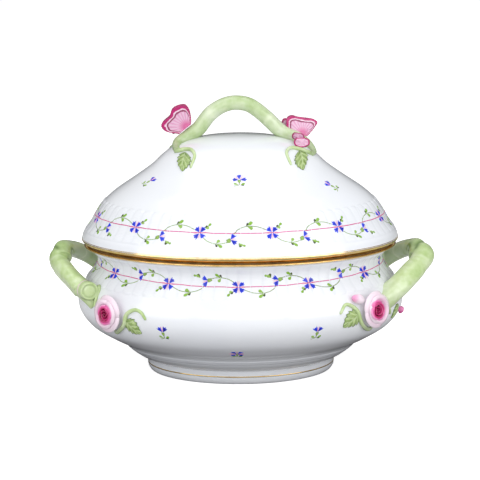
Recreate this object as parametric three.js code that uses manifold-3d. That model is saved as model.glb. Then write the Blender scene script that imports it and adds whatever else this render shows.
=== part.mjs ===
// Oval porcelain soup tureen with a lift-off lid: bowl on a foot ring, branch handles, applied roses,
// leaves and tendrils, and a domed lid with an arched branch handle and two butterflies.
// Millimetres, +Z up. The origin is at the middle of the foot's resting plane, +X runs along the
// longer axis of the oval towards the right-hand handle, and the front looks along -Y.
import * as THREE from "three";
import { mergeVertices } from "three/addons/utils/BufferGeometryUtils.js";
import Module from "manifold-3d";

const wasm = await Module();
wasm.setup();

// ---- Driving dimensions -------------------------------------------------------------------------
const OVAL = 0.78; // depth of every horizontal section over its width
const GAP = 0.35; // glaze gap kept between pieces that touch
const FOOT_HEIGHT = 11.65;
const FOOT_RADIUS = 83.8; // half width of the foot ring at its widest, along X
const FOOT_LAND = [74.5, 80.3]; // inner and outer half width of the ring's flat underside
const BOWL_TOP = 114.4;
const BOWL_LIP = [[138, 112.6], [138.6, 113.6], [137.6, BOWL_TOP], [129, BOWL_TOP]];
const LID_LIP = [[137.2, 116.5], [139.7, 117.9], [140.6, 119.3]];
const SEAT_RADIUS = [119.5, 133]; // flat of the lid that rests on the bowl's rim, along X
const FLANGE_DROP = 9; // how far the lid's locating flange reaches down into the neck
const FLANGE_WALL = 4;
const HANDLE_REACH = 170; // half of the overall length, over both handles
const HANDLE_RADIUS = 8.4; // half thickness of the side handles' branch at its outermost bend
const STUB_RADIUS = 8.6; // half thickness of the cut stub that ends each side handle
const ARCH_RADIUS = 6.4; // half thickness of the lid handle at its crown
const TENDRIL_RADIUS = 1.9;
const ROSE_RADIUS = 15.3;
const LEAF_THICKNESS = 1.8;
const WING_THICKNESS = 1.4;
const OVAL_SIDES = 48; // facets round the bowl, the lid and the foot
const OUTSIDE_STEPS = 22; // straight steps along each outside outline
const INSIDE_STEPS = 10;

// Outlines as [half width along X, height], from the foot upwards and from the rim upwards.
const BOWL_OUTSIDE = [
  [84.2, 12], [92, 15.6], [101, 22], [106, 27], [118.5, 33.5], [134, 43.5],
  [143.4, 56.5], [144.5, 70], [137.4, 84], [128, 96], [127, 104.5], [132.6, 111],
];
const BOWL_INSIDE = [
  [0, 16.6], [70, 17.2], [94, 24], [111, 34.2], [128, 45.5], [138.2, 58], [139.2, 69],
  [132, 82], [123, 94.5], [122, 104.5], [126.5, 111.5],
];
const LID_OUTSIDE = [
  [140.3, 120.8], [138.7, 126], [132.4, 134], [127.2, 143], [120.2, 153], [109.5, 162.5],
  [92.4, 174], [77.6, 184.5], [67.2, 194], [54.4, 202.6], [30, 209.2], [0, 211],
];
const LID_INSIDE = [
  [0, 206], [28, 204.2], [50.5, 198], [62.5, 189.6], [73, 180.2], [88.2, 169.5],
  [105, 158.5], [115.2, 150], [122, 141], [127, 132.5], [122, 124],
];

// ---- Colours ------------------------------------------------------------------------------------
const GLAZE = { color: 0xf4f7fb, roughness: 0.12, metalness: 0 };
const BRANCH = { color: 0xb5d08a, roughness: 0.2, metalness: 0 };
const LEAF = { color: 0x7fa34e, roughness: 0.25, metalness: 0 };
const PETAL = { color: 0xf0d5e2, roughness: 0.2, metalness: 0 };
const HEART = { color: 0xd2407e, roughness: 0.2, metalness: 0 };
const WING = { color: 0xdc6ba4, roughness: 0.2, metalness: 0 };

// ---- Helpers ------------------------------------------------------------------------------------
const toSolid = (geometry) => {
  const bare = new THREE.BufferGeometry();
  bare.setAttribute("position", geometry.getAttribute("position"));
  if (geometry.index) bare.setIndex(geometry.index);
  const merged = mergeVertices(bare, 1e-3);
  return new wasm.Manifold(
    new wasm.Mesh({
      numProp: 3,
      vertProperties: merged.attributes.position.array,
      triVerts: new Uint32Array(merged.index.array),
    }),
  );
};

const toGeometry = (solid) => {
  const made = solid.getMesh();
  const geometry = new THREE.BufferGeometry();
  geometry.setAttribute("position", new THREE.BufferAttribute(made.vertProperties, 3));
  geometry.setIndex(new THREE.BufferAttribute(made.triVerts, 1));
  return geometry;
};

const piece = (name, geometry, finish) => {
  const mesh = new THREE.Mesh(geometry, new THREE.MeshStandardMaterial(finish));
  mesh.name = name;
  return mesh;
};

// A smooth outline through a few [radius, height] points, as Vector2s.
const smooth = (outline, count) =>
  new THREE.SplineCurve(outline.map(([r, z]) => new THREE.Vector2(r, z))).getPoints(count);

// Turns a closed [radius, height] section about Z and squeezes it to the oval.
const ovalTurned = (section, sides = OVAL_SIDES) =>
  new THREE.LatheGeometry(section, sides).rotateX(Math.PI / 2).scale(1, OVAL, 1);

// A wall's place at an angle from the front (degrees, positive towards +X) and a height.
const wallOf = (outline) => {
  const fine = smooth(outline, 240);
  const radiusAt = (z) => {
    const above = Math.max(1, fine.findIndex((p) => p.y >= z));
    const [a, b] = [fine[above - 1], fine[above]];
    return THREE.MathUtils.mapLinear(z, a.y, b.y, a.x, b.x);
  };
  const at = (degrees, z) => {
    const turn = THREE.MathUtils.degToRad(degrees);
    const r = radiusAt(z);
    return new THREE.Vector3(r * Math.sin(turn), -OVAL * r * Math.cos(turn), z);
  };
  const normal = (degrees, z) => {
    const step = 0.4;
    const round = at(degrees + step, z).sub(at(degrees - step, z));
    const up = at(degrees, z + step).sub(at(degrees, z - step));
    return round.cross(up).normalize();
  };
  const lifted = (degrees, z, lift) =>
    at(degrees, z).addScaledVector(normal(degrees, z), lift);
  return { normal, lifted };
};

// A closed tube along a smooth path; thickness(t) is its half thickness from start (0) to end (1).
const tube = (points, thickness, steps, sides = 10) => {
  const path = new THREE.CatmullRomCurve3(points);
  const frames = path.computeFrenetFrames(steps, false);
  const places = [];
  for (let i = 0; i <= steps; i++) {
    const centre = path.getPointAt(i / steps);
    for (let j = 0; j < sides; j++) {
      const turn = (2 * Math.PI * j) / sides;
      places.push(
        centre
          .clone()
          .addScaledVector(frames.normals[i], thickness(i / steps) * Math.cos(turn))
          .addScaledVector(frames.binormals[i], thickness(i / steps) * Math.sin(turn)),
      );
    }
  }
  const first = places.push(path.getPointAt(0)) - 1;
  const last = places.push(path.getPointAt(1)) - 1;
  const faces = [];
  for (let j = 0; j < sides; j++) {
    const next = (j + 1) % sides;
    for (let i = 0; i < steps; i++) {
      const [a, b] = [i * sides + j, i * sides + next];
      faces.push(a, b, a + sides, b, b + sides, a + sides);
    }
    faces.push(first, next, j);
    faces.push(last, steps * sides + j, steps * sides + next);
  }
  return new THREE.BufferGeometry().setFromPoints(places).setIndex(faces);
};

// Carries geometry made round the local +Z axis to a place on a wall, standing along its normal.
const standOn = (geometry, wall, [degrees, z], lift, spin = 0) => {
  const up = wall.normal(degrees, z);
  const side = new THREE.Vector3(0, 0, 1).cross(up).normalize();
  const over = up.clone().cross(side);
  const place = new THREE.Matrix4().makeBasis(side, over, up);
  place.setPosition(wall.lifted(degrees, z, lift));
  return geometry.rotateZ(spin).applyMatrix4(place);
};

const halfTurn = (geometry) => geometry.clone().rotateZ(Math.PI);

// ---- Bowl and foot ------------------------------------------------------------------------------
const bowlWall = wallOf([...BOWL_OUTSIDE, [BOWL_LIP[1][0], BOWL_TOP]]);
const lidWall = wallOf(LID_OUTSIDE);

const bowlShell = () => {
  const section = [
    new THREE.Vector2(0, BOWL_OUTSIDE[0][1]),
    ...smooth(BOWL_OUTSIDE, OUTSIDE_STEPS),
    ...BOWL_LIP.map(([r, z]) => new THREE.Vector2(r, z)),
    ...smooth(BOWL_INSIDE, INSIDE_STEPS).reverse(),
  ];
  return ovalTurned(section);
};

const footRing = () => {
  const top = FOOT_HEIGHT;
  const section = [
    [FOOT_LAND[0], 0], [FOOT_LAND[1], 0], [FOOT_LAND[1] + 1.6, 1.1], [FOOT_RADIUS - 0.3, 4],
    [FOOT_RADIUS, 6], [FOOT_RADIUS, top], [FOOT_LAND[0] - 1, top], [FOOT_LAND[0] - 0.5, 3],
    [FOOT_LAND[0], 0],
  ].map(([r, z]) => new THREE.Vector2(r, z));
  return ovalTurned(section);
};

// The bowl's outside grown by the glaze gap and filled solid: what is applied to it stays clear.
const bowlKeepOut = toSolid(
  ovalTurned([
    new THREE.Vector2(0, BOWL_OUTSIDE[0][1]),
    ...smooth(BOWL_OUTSIDE, OUTSIDE_STEPS).map((p) => new THREE.Vector2(p.x + 1.3 * GAP, p.y)),
    new THREE.Vector2(BOWL_LIP[1][0] + GAP, BOWL_TOP),
    new THREE.Vector2(0, BOWL_TOP),
  ]),
);
const lidKeepOut = toSolid(
  ovalTurned([
    new THREE.Vector2(0, 119),
    ...smooth(LID_OUTSIDE, OUTSIDE_STEPS).map((p) => new THREE.Vector2(p.x ? p.x + GAP : 0, p.y + GAP)),
  ]),
);
const clearOf = (geometry, ...keepOuts) =>
  toGeometry(keepOuts.reduce((left, cutter) => left.subtract(cutter), toSolid(geometry)));

// ---- Side handles -------------------------------------------------------------------------------
// Each handle is one branch bent into a loop: its front limb comes down low on the belly and its rear
// limb stays high. The left one ends in a cut stub at its front, the right one at its rear.
const sideHandle = (side, [frontRadius, rearRadius], rearLift, stubRoute) => {
  const outermost = HANDLE_REACH - HANDLE_RADIUS;
  const frontLimb = [
    [119, -50, 68], [128, -47.5, 74.5], [137.8, -44, 81.8], [145.9, -36, 87.9], [153.9, -26, 94.1],
    [160.4, -14, 99.9],
  ];
  const rearLimb = [
    [outermost, -4, 104.2], [158.2, 7, 106.4], [149.2, 21.5, 102], [139.8, 33.5, 95.2],
    [132, 41.5, 88.6], [123, 45.5, 82],
  ].map(([x, y, z]) => [x, y, z + rearLift]);
  const route = [...frontLimb, ...rearLimb].map(([x, y, z]) => new THREE.Vector3(side * x, y, z));
  const thickness = (t) => THREE.MathUtils.lerp(frontRadius, rearRadius, t);
  const loop = toSolid(tube(route, thickness, 24, 10));
  const stub = toSolid(
    tube(stubRoute.map(([x, y, z]) => new THREE.Vector3(side * x, y, z)), () => STUB_RADIUS, 1, 12),
  );
  return clearOf(toGeometry(loop.add(stub)), bowlKeepOut);
};
const leftHandle = () => sideHandle(-1, [8, 7.6], 1.6, [[134.5, -45, 82], [129.9, -57, 82.1]]);
const rightHandle = () => sideHandle(1, [9.2, 7.8], 0, [[124, 32, 92], [128, 48.5, 86]]);

// ---- Applied flowers and leaves -----------------------------------------------------------------
const ROSE_CUP = [
  [7.6, -4], [13, -4], [ROSE_RADIUS - 0.6, 1.5], [ROSE_RADIUS, 5], [13.6, 8.2], [11.4, 9],
  [9.3, 7.6], [7.6, 5.5], [7.6, -4],
];
const ROSE_HEART = [
  [0, -4], [7.2, -4], [7.2, 5.6], [6.6, 8.6], [5, 10.4], [2.4, 9.6], [0, 8],
];
const turned = (section, sides) =>
  new THREE.LatheGeometry(section.map(([r, z]) => new THREE.Vector2(r, z)), sides).rotateX(
    Math.PI / 2,
  );
const roseCup = (place) =>
  clearOf(standOn(turned(ROSE_CUP, 14), bowlWall, place, 0), bowlKeepOut);
const roseHeart = (place) =>
  clearOf(standOn(turned(ROSE_HEART, 12), bowlWall, place, 0), bowlKeepOut);

// A tendril lying on a wall through [angle, height] places, thinning out towards its tip.
const tendril = (wall, places, radius = TENDRIL_RADIUS) =>
  tube(
    places.map(([degrees, z]) => wall.lifted(degrees, z, radius + GAP)),
    (t) => radius * (1 - 0.55 * t * t),
    2 * places.length,
    6,
  );

// A serrated leaf's blade, from its stalk at the origin to its tip on +X.
const leafBlade = (length, width) => {
  const half = [
    [0.06, 0.3], [0.2, 0.44], [0.24, 0.4], [0.42, 0.5], [0.46, 0.44], [0.64, 0.4], [0.68, 0.33],
    [0.84, 0.2],
  ];
  const outline = [
    [0, 0],
    ...half.map(([u, v]) => [u, -v]),
    [1, 0],
    ...half.toReversed(),
  ].map(([u, v]) => new THREE.Vector2(u * length, v * width));
  return new THREE.ExtrudeGeometry(new THREE.Shape(outline), {
    depth: LEAF_THICKNESS,
    bevelEnabled: false,
  }).translate(-length / 2, 0, 0);
};
const leaf = (wall, place, length, width, spinDegrees, lift = GAP) =>
  standOn(leafBlade(length, width), wall, place, lift, THREE.MathUtils.degToRad(spinDegrees));

// A closed bud lying on the wall, opening towards spinDegrees.
const bud = (wall, place, length, radius, spinDegrees) => {
  const section = [
    [0, 0], [radius * 0.55, 0.2 * radius], [radius, length * 0.35], [radius * 0.95, length * 0.7],
    [radius * 0.6, length], [0, length * 0.94],
  ];
  const upright = turned(section, 8).translate(0, 0, -length / 2).rotateY(Math.PI / 2);
  return standOn(upright, wall, place, radius + GAP, THREE.MathUtils.degToRad(spinDegrees));
};

// Everything applied to the front of the bowl; the back repeats it, turned by half.
const LEFT_ROSE = [-50, 66.4];
const RIGHT_ROSE = [51.5, 67.6];
const frontTrim = () => ({
  rose_a_petals: [roseCup(LEFT_ROSE), PETAL],
  rose_a_heart: [roseHeart(LEFT_ROSE), HEART],
  rose_a_stem: [tendril(bowlWall, [[-57.2, 85], [-58.6, 79], [-58.6, 73]], 1.3), BRANCH],
  rose_a_tendril: [
    tendril(bowlWall, [
      [-52, 46.4], [-47.8, 49.5], [-43, 58.9], [-41.4, 68.1], [-38.2, 72.5], [-35.2, 70.9], [-33.2, 65.4],
    ]),
    BRANCH,
  ],
  rose_a_leaf: [leaf(bowlWall, [-38.3, 56.3], 17.5, 12.5, -33), LEAF],
  rose_b_petals: [roseCup(RIGHT_ROSE), PETAL],
  rose_b_heart: [roseHeart(RIGHT_ROSE), HEART],
  rose_b_stem: [tendril(bowlWall, [[61.4, 65.4], [62.6, 61.8], [63.6, 57.8]], 1.3), BRANCH],
  rose_b_tendril: [
    tendril(bowlWall, [
      [56, 46.3], [49.2, 50.5], [44.6, 59.7], [42.8, 68.9], [40.2, 74.3], [37.8, 74.9], [35.2, 68.4],
    ]),
    BRANCH,
  ],
  rose_b_leaf: [leaf(bowlWall, [39.0, 60.8], 19.5, 13, 219), LEAF],
  rose_b_side_leaf: [leaf(bowlWall, [69.2, 58.4], 14, 7.5, 238), LEAF],
  rose_b_pale_bud: [bud(bowlWall, [43.8, 79.4], 11, 4.2, 160), PETAL],
  rose_b_pink_bud: [bud(bowlWall, [76.5, 56.5], 7.5, 3.2, -85), HEART],
});

// ---- Lid ----------------------------------------------------------------------------------------
const lidShell = () => {
  const seat = BOWL_TOP + GAP;
  const flangeBottom = BOWL_TOP - FLANGE_DROP;
  const section = [
    new THREE.Vector2(SEAT_RADIUS[0] - FLANGE_WALL, flangeBottom),
    new THREE.Vector2(SEAT_RADIUS[0] - 0.6, flangeBottom),
    new THREE.Vector2(SEAT_RADIUS[0], seat),
    new THREE.Vector2(SEAT_RADIUS[1], seat),
    ...LID_LIP.map(([r, z]) => new THREE.Vector2(r, z)),
    ...smooth(LID_OUTSIDE, OUTSIDE_STEPS),
    ...smooth(LID_INSIDE, INSIDE_STEPS),
    new THREE.Vector2(SEAT_RADIUS[0] - FLANGE_WALL, 118),
    new THREE.Vector2(SEAT_RADIUS[0] - FLANGE_WALL, flangeBottom),
  ];
  return ovalTurned(section);
};

// The arched branch over the crown; both its ends thin out along the lid's shoulders.
const lidHandle = () => {
  const left = [[-55, -12, 201.4], [-52.8, -5, 204.6], [-45.4, 0, 208.6], [-36.9, 0, 214.6]];
  const arch = [
    [-33.8, 0, 217.9], [-26.2, 0, 227.6], [-18.1, 0, 233.8], [-10, 0, 237.2], [-2, 0, 238.2],
    [7.6, 0, 236.6], [15.4, 0, 232.1], [23, 0, 225.8], [29.3, 0, 219.8],
  ];
  const right = [[34.5, 0, 214.8], [43, 0, 209.6], [52, -2, 206], [59.5, -4, 201.6], [62.4, -6, 198.6]];
  const route = [...left, ...arch, ...right].map((p) => new THREE.Vector3(...p));
  const thickness = (t) => ARCH_RADIUS * (0.42 + 0.58 * Math.min(1, 5 * t, 5 * (1 - t)));
  return clearOf(tube(route, thickness, 26, 10), lidKeepOut);
};

const LEFT_SHOOT = [[-64, 198.4], [-59, 198.8], [-52, 200.4], [-43.5, 200.2], [-36.2, 196.2], [-34, 187]];
const RIGHT_SHOOT = [[75, 197], [69, 197.6], [60.9, 200.2], [50, 201.2], [40.2, 197.8], [37, 188.4]];
const LEFT_LID_LEAF = [-46.4, 191];
const RIGHT_LID_LEAF = [52.2, 191];
const lidTrim = () => ({
  shoot_a: [tendril(lidWall, LEFT_SHOOT, 1.7), BRANCH],
  shoot_a_leaf: [leaf(lidWall, LEFT_LID_LEAF, 16.5, 13, -68), LEAF],
  shoot_b: [tendril(lidWall, RIGHT_SHOOT, 1.7), BRANCH],
  shoot_b_leaf: [leaf(lidWall, RIGHT_LID_LEAF, 16.5, 13, -122), LEAF],
});

// A wing plate from an outline of [along, up] points about its root, standing in an upright plane.
const wingPlate = (outline, root, turnDegrees, leanDegrees) => {
  const curve = new THREE.SplineCurve(outline.map(([u, v]) => new THREE.Vector2(u, v)));
  const plate = new THREE.ExtrudeGeometry(new THREE.Shape(curve.getPoints(22)), {
    depth: WING_THICKNESS,
    bevelEnabled: false,
  });
  return plate
    .translate(0, 0, -WING_THICKNESS / 2)
    .rotateX(Math.PI / 2 + THREE.MathUtils.degToRad(leanDegrees))
    .rotateZ(THREE.MathUtils.degToRad(turnDegrees))
    .translate(...root);
};
const FOLDED_WING = [
  [-4.2, -4], [-15.4, -1.6], [-19.8, 3.1], [-18.4, 7.6], [-12.3, 13.4], [-10.1, 19.7],
  [-5, 23], [0.6, 23], [4.8, 16.1], [6.2, 9], [6.2, 4.8],
];
const SPREAD_WING = [
  [-6, -2.5], [-9, 3], [-9.2, 9], [-7.5, 12], [-3.5, 13], [1, 11.6], [6, 11], [11, 10.6], [14.8, 10.6],
  [18.2, 7], [16, 1.8], [12.4, -2.6], [8.5, -6], [2, -5],
];
const SMALL_WING = [[-1.4, 1], [-4.4, 7], [-3.8, 11.4], [-1.4, 13], [1.6, 11], [2, 4], [1.2, 1]];
const LOWER_WING = [[-4.4, -2.5], [-6.4, -6], [-4.6, -9.6], [1, -11.2], [6.8, -9], [7.4, -5], [4, -2]];
const ROLLED_WING = [[-5.6, -1.6], [-6, 1.6], [-3.4, 4.2], [1.8, 3.6], [4.6, 1.4], [4.4, -2], [0, -3]];
const LEFT_BODY = [[-58.6, 0, 211.2], [-50, 0, 217.4], [-42.6, 0, 223.6]];
const RIGHT_BODY = [[42.5, -3.5, 220.5], [46.5, -3.6, 216.5], [50, -3.8, 213]];

// A butterfly's body: a little spindle along a route.
const insectBody = (route, endRadius) =>
  tube(route.map((p) => new THREE.Vector3(...p)), (t) => endRadius + 0.9 * Math.sin(Math.PI * t), 6, 6);

const butterflies = () => ({
  left_butterfly_body: [insectBody(LEFT_BODY, 1.1), WING],
  left_butterfly_near_wing: [wingPlate(FOLDED_WING, [-48.4, -3, 215], 0, 7), WING],
  left_butterfly_far_wing: [wingPlate(FOLDED_WING, [-48.4, 3, 215], 0, -7), WING],
  right_butterfly_body: [insectBody(RIGHT_BODY, 1), WING],
  right_butterfly_big_wing: [wingPlate(SPREAD_WING, [50.6, -8, 215.2], 4, -10), WING],
  right_butterfly_small_wing: [wingPlate(SMALL_WING, [41.2, 7.8, 209.5], -20, -12), WING],
  right_butterfly_rolled_wing: [wingPlate(ROLLED_WING, [52, -12, 209.3], 6, -25), WING],
  right_butterfly_lower_wing: [wingPlate(LOWER_WING, [54, -15.6, 212.2], -4, -20), WING],
});

// ---- Assembly -----------------------------------------------------------------------------------
const bowl = new THREE.Group();
bowl.add(piece("bowl_shell", bowlShell(), GLAZE));
bowl.add(piece("foot_ring", footRing(), GLAZE));
bowl.add(piece("left_handle", leftHandle(), BRANCH));
bowl.add(piece("right_handle", rightHandle(), BRANCH));
for (const [name, [geometry, finish]] of Object.entries(frontTrim())) {
  bowl.add(piece("front_" + name, geometry, finish));
  bowl.add(piece("back_" + name, halfTurn(geometry), finish));
}

const lid = new THREE.Group();
lid.add(piece("lid_shell", lidShell(), GLAZE));
lid.add(piece("lid_handle", lidHandle(), BRANCH));
for (const [name, [geometry, finish]] of Object.entries(lidTrim())) {
  lid.add(piece("front_" + name, geometry, finish));
  lid.add(piece("back_" + name, halfTurn(geometry), finish));
}
for (const [name, [geometry, finish]] of Object.entries(butterflies())) {
  lid.add(piece(name, geometry, finish));
}

const tureen = new THREE.Group();
tureen.add(bowl, lid);
export default tureen;
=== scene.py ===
"""Porcelain soup tureen: the looks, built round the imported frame. Lengths here are millimetres and
angles are degrees from the front (-Y), positive towards +X, until make_piece turns them into metres."""

import math

import bpy
import numpy as np
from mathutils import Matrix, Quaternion, Vector


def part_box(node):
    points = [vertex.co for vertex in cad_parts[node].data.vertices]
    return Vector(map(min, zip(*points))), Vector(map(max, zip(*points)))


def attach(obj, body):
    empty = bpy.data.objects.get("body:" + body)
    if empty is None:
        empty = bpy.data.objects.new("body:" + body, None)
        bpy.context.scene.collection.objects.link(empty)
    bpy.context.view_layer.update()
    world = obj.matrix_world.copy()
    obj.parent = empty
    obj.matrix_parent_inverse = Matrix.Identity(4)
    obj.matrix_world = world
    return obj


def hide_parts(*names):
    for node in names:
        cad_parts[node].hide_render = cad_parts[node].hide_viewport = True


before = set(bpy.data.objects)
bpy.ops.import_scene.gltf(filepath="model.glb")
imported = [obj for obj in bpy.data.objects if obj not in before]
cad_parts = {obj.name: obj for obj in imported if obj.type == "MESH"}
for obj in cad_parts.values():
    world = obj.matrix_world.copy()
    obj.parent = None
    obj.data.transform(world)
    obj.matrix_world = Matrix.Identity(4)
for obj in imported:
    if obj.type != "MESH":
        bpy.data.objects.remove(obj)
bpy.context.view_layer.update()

# ---- Sizes shared with the frame ---------------------------------------------------------------
MM = 0.001
BOWL_LOW, BOWL_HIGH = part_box("bowl_shell")
OVAL = (BOWL_HIGH.y - BOWL_LOW.y) / (BOWL_HIGH.x - BOWL_LOW.x)
BOWL_TOP = BOWL_HIGH.z / MM
FOOT_JOINT = 12.0
LID_SEAT = BOWL_TOP + 0.35
FLANGE_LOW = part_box("lid_shell")[0].z / MM
SEAT_RADIUS = (119.5, 133.0)
FLANGE_WALL = 4.0
FLANGE_CHAMFER = 0.8
BOWL_RIM = (129.0, 137.0)
FOOT_LAND = (74.5, 80.3)
FOOT_RADIUS = 83.8

# Outlines as (half width along X, height), the same places as the frame's walls.
BOWL_OUTSIDE = [
    (84.2, FOOT_JOINT), (92, 15.6), (101, 22.0), (106, 27), (118.5, 33.5), (134, 43.5),
    (143.4, 56.5), (144.5, 70), (137.4, 84), (128, 96), (127, 104.5), (132.6, 111),
]
BOWL_INSIDE = [
    (0, 16.6), (70, 17.2), (94, 24), (111, 34.2), (128, 45.5), (138.2, 58), (139.2, 69),
    (132, 82), (123, 94.5), (122, 104.5), (126.5, 111.5),
]
LID_OUTSIDE = [
    (140.3, 120.8), (138.7, 126), (132.4, 134), (127.2, 143), (120.2, 153), (109.5, 162.5),
    (92.4, 174), (77.6, 184.5), (67.2, 194), (54.4, 202.6), (30, 209.2), (0, 211),
]
LID_INSIDE = [
    (0, 206), (28, 204.2), (50.5, 198), (62.5, 189.6), (73, 180.2), (88.2, 169.5),
    (105, 158.5), (115.2, 150), (122, 141), (127, 132.5), (122, 124),
]

# The rolled lips that carry the gilding, between the outlines and the faces that meet.
BOWL_LIP = [(137.3, 112.9), (138.5, 113.5), (138.2, 114.15)]
LID_LIP = [(137.2, 116.5), (139.7, 117.9), (140.7, 119.3)]

# ---- Relief of the osier bands -----------------------------------------------------------------
BOWL_BAND, LID_BAND = (83.4, 110.4), (127.4, 154.6)  # heights it lies between
PANEL = 30.0  # degrees between the divider ribs
STAKE = 5.0  # degrees taken by one stake of the weave
PANEL_START = -0.7  # degrees from the front to the first divider rib
STAKE_HEIGHT = 0.5
DIVIDER_HEIGHT = 0.35
WEAVE_PITCH = 1.15
GROOVE_DEPTH, GROOVE_WIDTH = 0.3, 0.5
MOULDINGS = (20.4, 22.4, 24.4)  # heights of the fine grooves under the belly
COLUMNS = 720  # round each wall, ten to a stake
FINE_ROW, COARSE_ROW = 0.85, 2.6  # spacing of rows inside and outside a relief band
OUTLINE_STEPS = 40  # between two points of an outside outline
OUTLINE_SAMPLES = 900  # of a wall's half width and height, from its foot to its top
FOOT_COLUMNS, GILT_COLUMNS = 288, 432
SEEN_STRETCH = 1.1  # how much taller the lid's shoulder looks from the front than its height

rng = np.random.default_rng(7)


# ---- Curves ------------------------------------------------------------------------------------
def catmull(points, steps):
    """A uniform Catmull-Rom curve through the points, with its ends held."""
    held = np.asarray(points, float)
    held = np.vstack([held[:1], held, held[-1:]])
    t = np.linspace(0, 1, steps, endpoint=False)[:, None]
    spans = [
        0.5 * (2 * b + (c - a) * t + (2 * a - 5 * b + 4 * c - d) * t**2 + (3 * b - a - 3 * c + d) * t**3)
        for a, b, c, d in zip(held[:-3], held[1:-2], held[2:-1], held[3:])
    ]
    return np.vstack([*spans, held[-1:]])


def length_along(line):
    steps = np.linalg.norm(np.diff(line, axis=0), axis=1)
    return np.concatenate([[0], np.cumsum(steps)])


def evenly(line, count):
    """The same line with its points evenly spaced."""
    along = length_along(line)
    at = np.linspace(0, along[-1], count)
    return np.column_stack([np.interp(at, along, line[:, i]) for i in range(line.shape[1])])


# Angles that divide the way round the oval evenly, against the plain angles they stand for.
PLAIN_ANGLES = np.linspace(0, 360, 1441)
EVEN_ANGLES = length_along(np.column_stack([
    np.sin(np.radians(PLAIN_ANGLES)), OVAL * np.cos(np.radians(PLAIN_ANGLES)),
]))
EVEN_ANGLES *= 360 / EVEN_ANGLES[-1]


def spaced(even):
    """The plain angle at an evenly divided one."""
    turns, rest = np.divmod(np.asarray(even, float), 360)
    return 360 * turns + np.interp(rest, EVEN_ANGLES, PLAIN_ANGLES)


def shared(degrees):
    """The evenly divided angle at a plain one."""
    turns, rest = np.divmod(np.asarray(degrees, float), 360)
    return 360 * turns + np.interp(rest, PLAIN_ANGLES, EVEN_ANGLES)


def smoothstep(value, low, high):
    t = np.clip((value - low) / (high - low), 0, 1)
    return t * t * (3 - 2 * t)


def hump(value, middle, width):
    """1 at the middle, falling smoothly to 0 either side of it."""
    return np.exp(-(((value - middle) / width) ** 2))


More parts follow.
